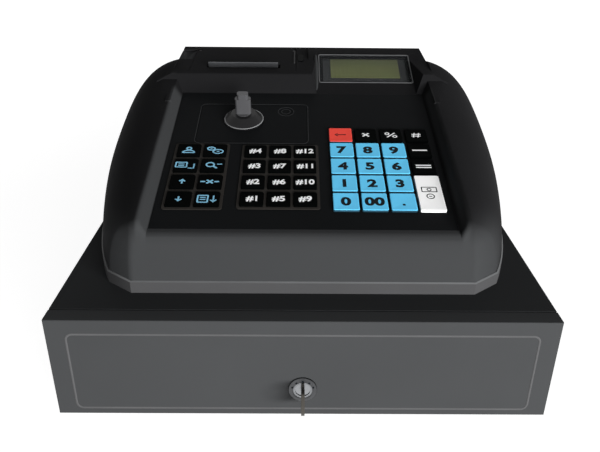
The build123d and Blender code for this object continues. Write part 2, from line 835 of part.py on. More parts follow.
with BuildPart() as outer_form:
    add(shell_envelope(0, 0))
    rear_edges = outer_form.edges().filter_by(lambda edge: edge.length > rear_foot / 6).filter_by(
        middles_within((block_half + 20, top_back, band_height), (shell_halves[-1], rear_foot, deck_foot))
    )
    fillet(rear_edges, rear_round)
    ridges = outer_form.edges().filter_by(
        middles_within((facet_half, apron_front, -foot_drop), (facet_half, apron_front, apron_top))
    )
    fillet(ridges.filter_by(lambda edge: edge.bounding_box().size.Z > 1), ridge_round)
    facet_ends = outer_form.edges().filter_by(
        middles_within((facet_half + facet_run - 6, facet_back, -foot_drop), (facet_half + facet_run, facet_back, apron_top))
    )
    fillet(facet_ends.filter_by(lambda edge: edge.bounding_box().size.Z > 1), ridge_round)
    apron_edge = outer_form.edges().filter_by(Axis.X).filter_by(
        middles_within((0, apron_front, apron_crease + 2 * edge_reach), (0, facet_back, apron_top))
    )
    fillet(apron_edge, apron_round)
    riser_edge = outer_form.edges().filter_by(Axis.X).filter_by(
        middles_within((0, top_front, top_height), (block_half, top_front, top_height))
    )
    fillet(riser_edge.sort_by(SortBy.LENGTH)[-1], riser_round)
    rims = outer_form.edges().filter_by(lambda edge: edge.length > deck_half).filter_by(
        middles_within((rim_x, facet_back, apron_crease), (rim_x, deck_back, deck_foot))
    )
    fillet(rims, rim_round)

rear_lean = math.degrees(math.atan2(rear_foot - top_back, top_height + top_rise - band_height))
rear_plane = Plane(
    origin=(0, front_y + rear_foot, case_top + band_height),
    x_dir=(-1, 0, 0),
    z_dir=(0, math.cos(math.radians(rear_lean)), math.sin(math.radians(rear_lean))),
)
panel_mid = (panel_front + panel_back) / 2
panel_length = panel_back - panel_front
panel_half = deck_half - 2 * seat_gap
cover_mid = (cover_left + cover_right) / 2
cover_width = cover_right - cover_left
lug_reach = 1.2 * hinge_radius
cover_end = cover_hinge + lug_reach + seat_gap
jack_middle = pan_floor + board_rise + board_sheet + jack_height / 2

with BuildPart() as top_housing:
    add(outer_form.part)
    add(inner_form, mode=Mode.SUBTRACT)
    # The block ends at its riser on both sides of the deck field.
    with BuildSketch(Plane.YZ) as before_riser:
        with BuildLine():
            Polyline(
                at(clear_start, deck_height(clear_start) + shoulder_rise),
                at(deck_back + riser_lean * shoulder_rise, deck_foot + shoulder_rise),
                at(top_front, top_height),
                at(top_front, apron_top + case_height),
                at(clear_start, apron_top + case_height),
                close=True,
            )
        make_face()
    extrude(amount=flank_half, both=True, mode=Mode.SUBTRACT)
    add([flank(side) - inner_form for side in (-1, 1)])
    with BuildSketch(Plane.XY.offset(case_top - band_height)) as below:
        Rectangle(far, far)
    extrude(amount=2 * band_height, mode=Mode.SUBTRACT)
    # Seat of the key panel, and the opening under it
    with BuildSketch(raised(deck_plane, -panel_sheet)) as seat:
        with Locations((0, panel_mid)):
            Rectangle(2 * (panel_half + seat_gap), panel_length + 2 * seat_gap)
    extrude(amount=panel_sheet, mode=Mode.SUBTRACT)
    with BuildSketch(raised(deck_plane, -panel_sheet - 2 * wall)) as deck_opening:
        with Locations((0, panel_mid)):
            Rectangle(2 * (deck_half - panel_ledge), panel_length - 2 * panel_ledge)
    extrude(amount=2 * wall + panel_sheet, mode=Mode.SUBTRACT)
    # Seats and openings of both display windows
    for plane, middle, height in (
        (display_plane, (window_x, window_t), window_height),
        (rear_plane, (-window_x, rear_window_rise), rear_window_height),
    ):
        with BuildSketch(plane) as window_seat:
            with Locations(middle):
                Rectangle(window_width + 2 * seat_gap, height + 2 * seat_gap)
        extrude(amount=-window_sheet, mode=Mode.SUBTRACT)
        with BuildSketch(plane) as window_opening:
            with Locations(middle):
                Rectangle(window_width - 2 * window_frame, height - 2 * window_frame)
        extrude(amount=-2 * wall, mode=Mode.SUBTRACT)
    # Opening under the printer cover
    with BuildSketch(top_plane) as printer_opening:
        with Locations((cover_mid, (cover_front + cover_end) / 2)):
            Rectangle(cover_width + 2 * seat_gap, cover_end - cover_front + 2 * seat_gap)
    extrude(amount=-2 * wall, mode=Mode.SUBTRACT)
    # Finger scoop beside the cover: pointed in front, round in section
    scoop_planes = [Plane.XZ.offset(-front_y - depth) for depth in (scoop_front, scoop_back)]
    for plane, share in zip(scoop_planes, (0.05, 1.0)):
        depth_here = scoop_front if share < 1 else scoop_back
        rise = top_height + (depth_here - top_front) * top_slope
        with BuildSketch(plane) as scoop_section:
            with Locations((scoop_x, case_top + rise)):
                Ellipse(scoop_half * share, scoop_depth * share)
    loft(mode=Mode.SUBTRACT)
    # Jacks and vents in the rear face
    with BuildSketch(Plane.XZ.offset(-front_y - rear_foot)) as jack_openings:
        with Locations((board_x, case_top + jack_middle)):
            with GridLocations(jack_pitch, 0, jack_count, 1):
                Rectangle(jack_width + 2 * seat_gap, jack_height + 2 * seat_gap)
    extrude(amount=4 * wall, mode=Mode.SUBTRACT)
    with BuildSketch(rear_plane) as vents:
        with Locations((vent_x, vent_rise)):
            with GridLocations(vent_pitch, 0, vent_count, 1):
                SlotOverall(vent_length, vent_width, rotation=90)
    extrude(amount=-3 * wall, mode=Mode.SUBTRACT)
top_housing.part.label = "top_housing"
export_step(top_housing.part, "parts/top_housing.step")

# ---------------------------------------------------------------- keys


def key_grid(names, first, pitch, size):
    """One named key for each name: columns of rows, from the lowest row upwards."""
    made = []
    for column, column_names in enumerate(names):
        for row, name in enumerate(column_names):
            place = (first[0] + column * pitch[0], first[1] + row * pitch[1])
            made.append((name, place, size))
    return made


left_names = [[f"function_key_{4 * column + row + 1}" for row in range(4)] for column in range(2)]
middle_names = [[f"item_key_{4 * column + row + 1}" for row in range(4)] for column in range(3)]
number_names = [
    ["number_key_0", "number_key_1", "number_key_4", "number_key_7"],
    ["number_key_00", "number_key_2", "number_key_5", "number_key_8"],
    ["point_key", "number_key_3", "number_key_6", "number_key_9"],
]
left_keys = key_grid(left_names, (left_x, left_t), (left_pitch_x, left_pitch_t), (left_width, left_height))
middle_keys = key_grid(
    middle_names, (middle_x, middle_t), (middle_pitch_x, middle_pitch_t), (middle_width, middle_height)
)
number_keys = key_grid(
    number_names, (number_x, number_t), (number_pitch_x, number_pitch_t), (number_width, number_height)
)
small_size = (small_width, small_height)
top_row_t = number_t + 4 * number_pitch_t
last_column_x = number_x + 3 * number_pitch_x
side_keys = [
    ("clear_key", (number_x, top_row_t), (number_width, number_height)),
    ("times_key", (number_x + number_pitch_x, top_row_t), small_size),
    ("percent_key", (number_x + 2 * number_pitch_x, top_row_t), small_size),
    ("code_key", (last_column_x, top_row_t), small_size),
    ("minus_key", (last_column_x, number_t + 3 * number_pitch_t), small_size),
    ("subtotal_key", (last_column_x, number_t + 2 * number_pitch_t), small_size),
    ("total_key", (last_column_x, number_t + number_pitch_t / 2), (number_width, tall_height)),
]
keys = left_keys + middle_keys + number_keys + side_keys

deck_up = Axis((0, 0, 0), tuple(deck_plane.z_dir))
stem_foot = panel_sheet + flange_sheet + stem_length
board_top = stem_foot + key_travel + seat_gap + switch_height

for name, place, size in keys:
    with BuildPart() as key:
        with BuildSketch(raised(deck_plane, -panel_sheet)) as cap:
            with Locations(place):
                RectangleRounded(size[0], size[1], key_corner)
        extrude(amount=panel_sheet + key_rise)
        chamfer(key.faces().sort_by(deck_up)[-1].edges(), key_corner / 2)
        with BuildSketch(raised(deck_plane, -panel_sheet - flange_sheet)) as flange:
            with Locations(place):
                Rectangle(size[0] + 2 * flange_lap, size[1] + 2 * flange_lap)
        extrude(amount=flange_sheet)
        with BuildSketch(raised(deck_plane, -stem_foot)) as stem:
            with Locations(place):
                Rectangle(stem_side, stem_side)
        extrude(amount=stem_length)
    key.part.label = name
    export_step(key.part, f"parts/{name}.step")

# ---------------------------------------------------------------- key panel


def group_frame(group):
    """Middle and size of the rectangle round a group of keys, ribs included."""
    _, _, size = group[0]
    xs = [place[0] for _, place, _ in group]
    ts = [place[1] for _, place, _ in group]
    middle = ((min(xs) + max(xs)) / 2, (min(ts) + max(ts)) / 2)
    width = max(xs) - min(xs) + size[0] + 2 * rib_width
    height = max(ts) - min(ts) + size[1] + 2 * rib_width
    return middle, width, height


left_aisle = (left_x + left_pitch_x + left_width / 2 + middle_x - middle_width / 2) / 2
right_aisle = (middle_x + 2 * middle_pitch_x + middle_width / 2 + number_x - number_width / 2) / 2
boss_rows = (number_t - 4, number_t + 2 * number_pitch_t, top_row_t)

with BuildPart() as key_panel:
    with BuildSketch(raised(deck_plane, -panel_sheet)) as panel_plate:
        with Locations((0, panel_mid)):
            Rectangle(2 * panel_half, panel_length)
    extrude(amount=panel_sheet)
    for group in (left_keys, middle_keys):
        middle, width, height = group_frame(group)
        with BuildSketch(deck_plane) as ribs:
            with Locations(middle):
                RectangleRounded(width, height, rib_width)
        extrude(amount=rib_rise)
    for _, place, size in keys:
        with BuildSketch(raised(deck_plane, rib_rise)) as key_window:
            with Locations(place):
                RectangleRounded(size[0] + 2 * key_gap, size[1] + 2 * key_gap, key_corner + key_gap)
        extrude(amount=-panel_sheet - rib_rise, mode=Mode.SUBTRACT)
    # Hole of the mode lock, recess of the seal and the line round the fiscal cover
    with BuildSketch(deck_plane) as lock_window:
        with Locations((mode_x, mode_t)):
            Circle(mode_barrel_radius + seat_gap / 2)
    extrude(amount=-panel_sheet, mode=Mode.SUBTRACT)
    with BuildSketch(deck_plane) as recesses:
        with Locations((seal_x, seal_t)):
            Circle(seal_radius)
        with Locations(((fiscal_left + fiscal_right) / 2, (fiscal_front + fiscal_back) / 2)):
            RectangleRounded(fiscal_right - fiscal_left, fiscal_back - fiscal_front, fiscal_corner)
            RectangleRounded(
                fiscal_right - fiscal_left - 2 * fiscal_line,
                fiscal_back - fiscal_front - 2 * fiscal_line,
                fiscal_corner - fiscal_line,
                mode=Mode.SUBTRACT,
            )
        with Locations((seal_x, seal_t)):
            Circle(seal_radius)
    extrude(amount=-seal_depth, mode=Mode.SUBTRACT)
    # Bosses carry the switch board under the panel.
    with BuildSketch(raised(deck_plane, -panel_sheet)) as board_bosses:
        with Locations(*[(x, t) for x in (left_aisle, right_aisle) for t in boss_rows]):
            Circle(panel_boss_radius)
    extrude(amount=panel_sheet - board_top)
key_panel.part.label = "key_panel"
export_step(key_panel.part, "parts/key_panel.step")

# ---------------------------------------------------------------- circuit boards
board_front_t = number_t - number_height / 2 - 6
board_back_t = top_row_t + number_height / 2 + 4
jack_top = jack_middle + jack_height / 2 - band_height
jack_back = front_y + rear_foot - jack_top * tan_deg(rear_lean) - 1.0

with BuildPart() as circuit_boards:
    # Switch board, with one switch under each key
    with BuildSketch(raised(deck_plane, -board_top - board_sheet)) as switch_board:
        with Locations((0, (board_front_t + board_back_t) / 2)):
            Rectangle(2 * (deck_half - panel_ledge - 1), board_back_t - board_front_t)
    extrude(amount=board_sheet)
    with BuildSketch(raised(deck_plane, -board_top)) as switches:
        with Locations(*[place for _, place, _ in keys]):
            Circle(switch_radius)
    extrude(amount=switch_height)
    # Main board with its processor, memory and jacks
    with BuildSketch(Plane.XY.offset(case_top + pan_floor + board_rise)) as main_board:
        with Locations((board_x, board_y)):
            Rectangle(board_width, board_depth)
    extrude(amount=board_sheet)
    with BuildSketch(Plane.XY.offset(case_top + pan_floor + board_rise + board_sheet)) as chips:
        with Locations((board_x - board_width / 5, board_y - board_depth / 5)):
            Rectangle(24, 24)
        with Locations((board_x + board_width / 5, board_y - board_depth / 5)):
            Rectangle(30, 14)
    extrude(amount=3)
    with BuildSketch(Plane.XY.offset(case_top + pan_floor + board_rise + board_sheet)) as jacks:
        with Locations((board_x, (board_y + board_depth / 2 - 8 + jack_back) / 2)):
            with GridLocations(jack_pitch, 0, jack_count, 1):
                Rectangle(jack_width, jack_back - board_y - board_depth / 2 + 8)
    extrude(amount=jack_height)
    # Power unit
    with BuildSketch(Plane.XY.offset(case_top + pan_floor)) as power_unit:
        with Locations((power_x, power_y)):
            RectangleRounded(power_width, power_depth, 4)
    extrude(amount=power_height)
circuit_boards.part.label = "circuit_boards"
export_step(circuit_boards.part, "parts/circuit_boards.step")

# ---------------------------------------------------------------- mode lock
with BuildPart() as mode_lock:
    with BuildSketch(deck_plane) as dome_foot:
        with Locations((mode_x, mode_t)):
            Circle(mode_dome_radius)
    extrude(amount=mode_rim)
    with BuildSketch(raised(deck_plane, mode_rim)) as dome:
        with Locations((mode_x, mode_t)):
            Circle(mode_dome_radius - mode_rim / 2)
    extrude(amount=mode_dome_height - mode_rim, taper=mode_dome_taper)
    fillet(mode_lock.faces().sort_by(deck_up)[-1].edges(), mode_rim)
    with BuildSketch(deck_plane) as barrel:
        with Locations((mode_x, mode_t)):
            Circle(mode_barrel_radius)
    extrude(amount=-mode_barrel_length)
    with BuildSketch(raised(deck_plane, mode_dome_height)) as mode_bore:
        with Locations((mode_x, mode_t)):
            Circle(mode_plug_radius + run_gap)
    extrude(amount=-mode_dome_height - mode_barrel_length, mode=Mode.SUBTRACT)
mode_lock.part.label = "mode_lock"
export_step(mode_lock.part, "parts/mode_lock.step")

with BuildPart() as mode_key:
    with BuildSketch(raised(deck_plane, -mode_barrel_length)) as mode_plug:
        with Locations((mode_x, mode_t)):
            Circle(mode_plug_radius)
    extrude(amount=mode_barrel_length + mode_dome_height + seat_gap)
    with BuildSketch(raised(deck_plane, mode_dome_height + seat_gap)) as mode_bow:
        with Locations((mode_x, mode_t)):
            RectangleRounded(mode_bow_width, mode_bow_sheet, mode_bow_sheet / 3)
    extrude(amount=mode_bow_height)
    with BuildSketch(raised(deck_plane, mode_dome_height + seat_gap + mode_bow_height)) as mode_tip:
        with Locations((mode_x, mode_t)):
            RectangleRounded(mode_tip_width, mode_bow_sheet, mode_bow_sheet / 3)
    extrude(amount=mode_tip_height)
mode_key.part.label = "mode_key"
export_step(mode_key.part, "parts/mode_key.step")

# ---------------------------------------------------------------- displays
with BuildPart() as display_windows:
    with BuildSketch(raised(display_plane, -window_sheet)) as window:
        with Locations((window_x, window_t)):
            Rectangle(window_width, window_height)
    extrude(amount=window_sheet)
    with BuildSketch(raised(rear_plane, -window_sheet)) as rear_window:
        with Locations((-window_x, rear_window_rise)):
            Rectangle(window_width, rear_window_height)
    extrude(amount=window_sheet)
display_windows.part.label = "display_windows"
export_step(display_windows.part, "parts/display_windows.step")

with BuildPart() as lcd_modules:
    with BuildSketch(raised(display_plane, -wall)) as lcd:
        with Locations((window_x, window_t)):
            Rectangle(window_width - window_frame, window_height - 2 * window_frame)
    extrude(amount=-lcd_sheet)
    with BuildSketch(raised(rear_plane, -wall)) as rear_lcd:
        with Locations((-window_x, rear_window_rise)):
            Rectangle(window_width - window_frame, rear_window_height - window_frame)
    extrude(amount=-lcd_sheet)
lcd_modules.part.label = "lcd_modules"
export_step(lcd_modules.part, "parts/lcd_modules.step")

# ---------------------------------------------------------------- printer
plate_left = cover_left + 2 * seat_gap
plate_right = cover_right - 2 * seat_gap
tear_u = slot_centre - slot_width / 2
hinge_drop = hinge_radius
lug_width = printer_wall + 4 * seat_gap

with BuildPart() as printer_cover:
    with BuildSketch(raised(top_plane, -cover_sheet)) as cover_plate:
        with Locations((cover_mid, (cover_front + cover_hinge) / 2)):
            Rectangle(cover_width, cover_hinge - cover_front)
        # Clear of the two lugs that hold the hinge pin
        for edge in (cover_left + lug_width / 2, cover_right - lug_width / 2):
            with Locations((edge, cover_hinge)):
                Rectangle(lug_width, 4 * hinge_radius, mode=Mode.SUBTRACT)
        with Locations((cover_mid, slot_centre)):
            Rectangle(slot_length + 4, slot_width + 4, mode=Mode.SUBTRACT)
    extrude(amount=cover_sheet)
    hinge_line = Plane(
        origin=raised(top_plane, -hinge_drop).from_local_coords((0, cover_hinge, 0)),
        x_dir=(0, 1, 0),
        z_dir=(1, 0, 0),
    )
    with BuildSketch(hinge_line.offset(cover_left + lug_width)) as hinge_barrel:
        Circle(hinge_radius)
    extrude(amount=cover_width - 2 * lug_width)
    with BuildSketch(hinge_line.offset(plate_left)) as hinge_pin:
        Circle(pin_radius)
    extrude(amount=plate_right - plate_left)
printer_cover.part.label = "printer_cover"
export_step(printer_cover.part, "parts/printer_cover.step")

roll_y, roll_z = at(roll_depth, roll_height)
platen_y, platen_z = at(platen_depth, platen_height)
frame_bottom = case_top + pan_floor
frame_front = front_y + top_front + 3 * wall
cradle_radius = roll_radius + seat_gap
hinge_y = hinge_line.origin.Y
hinge_z = hinge_line.origin.Z

with BuildPart() as printer_mechanism:
    for plate_x in (plate_left, plate_right - printer_wall):
        with BuildSketch(Plane.YZ.offset(plate_x)) as side_plate:
            with BuildLine():
                Polyline(
                    (frame_front, frame_bottom),
                    (frame_front, platen_z + 9),
                    (hinge_y - 2.5 * hinge_radius, hinge_z - hinge_radius),
                    (hinge_y - lug_reach, hinge_z + hinge_radius / 2),
                    (hinge_y + lug_reach, hinge_z + hinge_radius / 2),
                    (hinge_y + lug_reach, hinge_z - hinge_radius),
                    (roll_y + cradle_radius, frame_bottom),
                    close=True,
                )
            make_face()
            with Locations((hinge_y, hinge_z)):
                Circle(pin_radius + run_gap, mode=Mode.SUBTRACT)
            with Locations((platen_y, platen_z)):
                Circle(platen_shaft_radius + run_gap, mode=Mode.SUBTRACT)
        extrude(amount=printer_wall)
    inner_left = plate_left + printer_wall
    inner_span = plate_right - plate_left - 2 * printer_wall
    # Cradle under the roll, foot, head bar and tear bar, all across the side plates
    with BuildSketch(Plane.YZ.offset(inner_left)) as cradle:
        with Locations((roll_y, roll_z)):
            Circle(cradle_radius + printer_wall)
            Circle(cradle_radius, mode=Mode.SUBTRACT)
        with Locations((roll_y, roll_z + 2 * cradle_radius - cradle_radius / 3)):
            Rectangle(4 * cradle_radius, 4 * cradle_radius, mode=Mode.SUBTRACT)
    extrude(amount=inner_span)
    with BuildSketch(Plane.YZ.offset(inner_left)) as foot_bar:
        with Locations(((frame_front + roll_y + cradle_radius) / 2, frame_bottom + printer_wall / 2)):
            Rectangle(roll_y + cradle_radius - frame_front, printer_wall)
        with Locations((frame_front + head_sheet / 2 - 1, platen_z - 4)):
            Rectangle(head_sheet - 2, 16)
    extrude(amount=inner_span)
    with BuildSketch(top_plane.offset(-cover_sheet - 1)) as tear_rail:
        with Locations((cover_mid, tear_u + tear_sheet / 2)):
            Rectangle(inner_span, tear_sheet)
    extrude(amount=-4)
    with BuildSketch(top_plane.offset(-cover_sheet - 1)) as tear_bar:
        with Locations((cover_mid, tear_u + tear_sheet / 2)):
            Rectangle(slot_length, tear_sheet)
    extrude(amount=cover_sheet + 1 + tear_height)
printer_mechanism.part.label = "printer_mechanism"
export_step(printer_mechanism.part, "parts/printer_mechanism.step")

with BuildPart() as platen_roller:
    with BuildSketch(Plane.YZ.offset(inner_left + slide_gap)) as platen:
        with Locations((platen_y, platen_z)):
            Circle(platen_radius)
    extrude(amount=inner_span - 2 * slide_gap)
    with BuildSketch(Plane.YZ.offset(plate_left - gear_width)) as platen_shaft:
        with Locations((platen_y, platen_z)):
            Circle(platen_shaft_radius)
    extrude(amount=plate_right - plate_left + gear_width)
platen_roller.part.label = "platen_roller"
export_step(platen_roller.part, "parts/platen_roller.step")

with BuildPart() as paper_roll:
    with BuildSketch(Plane.YZ.offset(cover_mid - paper_width / 2)) as roll:
        with Locations((roll_y, roll_z)):
            Circle(roll_radius)
            Circle(roll_core_radius, mode=Mode.SUBTRACT)
    extrude(amount=paper_width)
paper_roll.part.label = "paper_roll"
export_step(paper_roll.part, "parts/paper_roll.step")
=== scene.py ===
"""Looks for a cash register that stands on its own drawer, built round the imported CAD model."""

import json
import math
from typing import NamedTuple

import bmesh
import bpy
import numpy as np
from bpy.props import FloatProperty, FloatVectorProperty, PointerProperty
from mathutils import Matrix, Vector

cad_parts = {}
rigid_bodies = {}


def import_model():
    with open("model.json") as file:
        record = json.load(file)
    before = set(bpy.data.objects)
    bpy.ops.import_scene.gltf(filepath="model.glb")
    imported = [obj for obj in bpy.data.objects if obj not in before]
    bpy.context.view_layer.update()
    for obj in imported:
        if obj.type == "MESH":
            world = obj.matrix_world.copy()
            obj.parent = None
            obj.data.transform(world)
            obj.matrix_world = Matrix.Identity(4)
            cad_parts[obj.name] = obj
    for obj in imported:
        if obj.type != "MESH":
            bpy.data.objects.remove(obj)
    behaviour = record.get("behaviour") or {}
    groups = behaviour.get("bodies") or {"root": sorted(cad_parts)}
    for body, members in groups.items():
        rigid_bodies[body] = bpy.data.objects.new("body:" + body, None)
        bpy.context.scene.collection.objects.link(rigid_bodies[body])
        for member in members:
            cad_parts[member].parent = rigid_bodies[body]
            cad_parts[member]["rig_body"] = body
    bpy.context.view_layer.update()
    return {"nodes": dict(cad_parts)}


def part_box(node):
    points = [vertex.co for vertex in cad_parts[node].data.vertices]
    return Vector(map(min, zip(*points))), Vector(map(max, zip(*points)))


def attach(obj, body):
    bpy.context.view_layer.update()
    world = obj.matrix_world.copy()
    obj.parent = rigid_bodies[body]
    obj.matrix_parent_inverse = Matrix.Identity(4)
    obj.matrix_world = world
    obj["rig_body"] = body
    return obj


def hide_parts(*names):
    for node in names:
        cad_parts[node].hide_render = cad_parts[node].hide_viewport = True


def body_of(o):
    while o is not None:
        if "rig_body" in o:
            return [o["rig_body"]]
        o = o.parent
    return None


bl_info = {
    "name": "Ticket Register",
    "version": (1, 0, 0),
    "blender": (4, 5, 0),
    "location": "View3D > Sidebar > Register",
    "description": "Finishes and fine detail for a cash register on its drawer",
    "category": "Object",
}

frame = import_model()

MM = 0.001


# ---------------------------------------------------------------- colour and nodes
def linear(text):
    """An sRGB hex value as linear red, green, blue and alpha."""
    value = np.array([int(text[i : i + 2], 16) for i in (1, 3, 5)]) / 255.0
    low = value / 12.92
    high = ((value + 0.055) / 1.055) ** 2.4
    return (*np.where(value <= 0.04045, low, high).tolist(), 1.0)


def add_node(tree, kind, settings=None, inputs=None):
    """Adds one node: settings are its own fields, inputs are values or output sockets to link."""
    made = tree.nodes.new(kind)
    for field, value in (settings or {}).items():
        setattr(made, field, value)
    for socket, value in (inputs or {}).items():
        if isinstance(value, bpy.types.NodeSocket):
            tree.links.new(value, made.inputs[socket])
        else:
            made.inputs[socket].default_value = value
    return made


def bare_tree(owner):
    """The node tree of a new material or world, with its default nodes cleared."""
    owner.use_nodes = True
    owner.node_tree.nodes.clear()
    return owner.node_tree


def tone_of(name):
    """A colour of the register's colour settings, as a tuple."""
    return tuple(getattr(bpy.context.scene.register_colours, name))


def dimmed(colour, share):
    """The same colour with share of its light taken away."""
    return (*(part * (1 - share) for part in colour[:3]), 1.0)


# ---------------------------------------------------------------- finishes
class Finish(NamedTuple):
    """A moulded, painted or plated surface; its lengths are in millimetres."""

    colour: str  # the colour setting it takes
    drift: float  # share by which the colour darkens at the far end of its slow drift
    roughness: float  # middle of its roughness, which drifts by GLOSS_DRIFT to both sides
    grain: float  # size of the fine grain
    depth: float  # relief of the fine grain
    mottle: float  # size of the slow drifts
    specular: float = 0.5
    metallic: float = 0.0
    alpha: float = 1.0
    rubbed: str = ""  # the colour setting of its zones of painted light
    painted_light_zones: tuple = ()


GLOSS_DRIFT = 0.06
GRAIN_STRENGTH = 0.6

# Zones of painted light on the housing: a paler colour that stands for the light on the front up to
# the apron, and painted highlights on the left rim and the right rim beside the keys and in the scoop
# beside the printer's cover. Each is the product of smooth steps along an axis, from the place in
# metres where the paler colour is full to the place where it has ended.
HOUSING_PAINTED_LIGHT = (
    (("Y", -0.137, -0.082), ("Z", 0.113, 0.137)),
    (("X", -0.1095, -0.1125), ("X", -0.1045, -0.1035), ("Y", 0.036, 0.046)),
    (("X", 0.1070, 0.1115), ("X", 0.1065, 0.1040), ("Y", 0.036, 0.046)),
    (("X", -0.1035, -0.1005), ("Y", 0.098, 0.095), ("Y", 0.122, 0.127)),
)

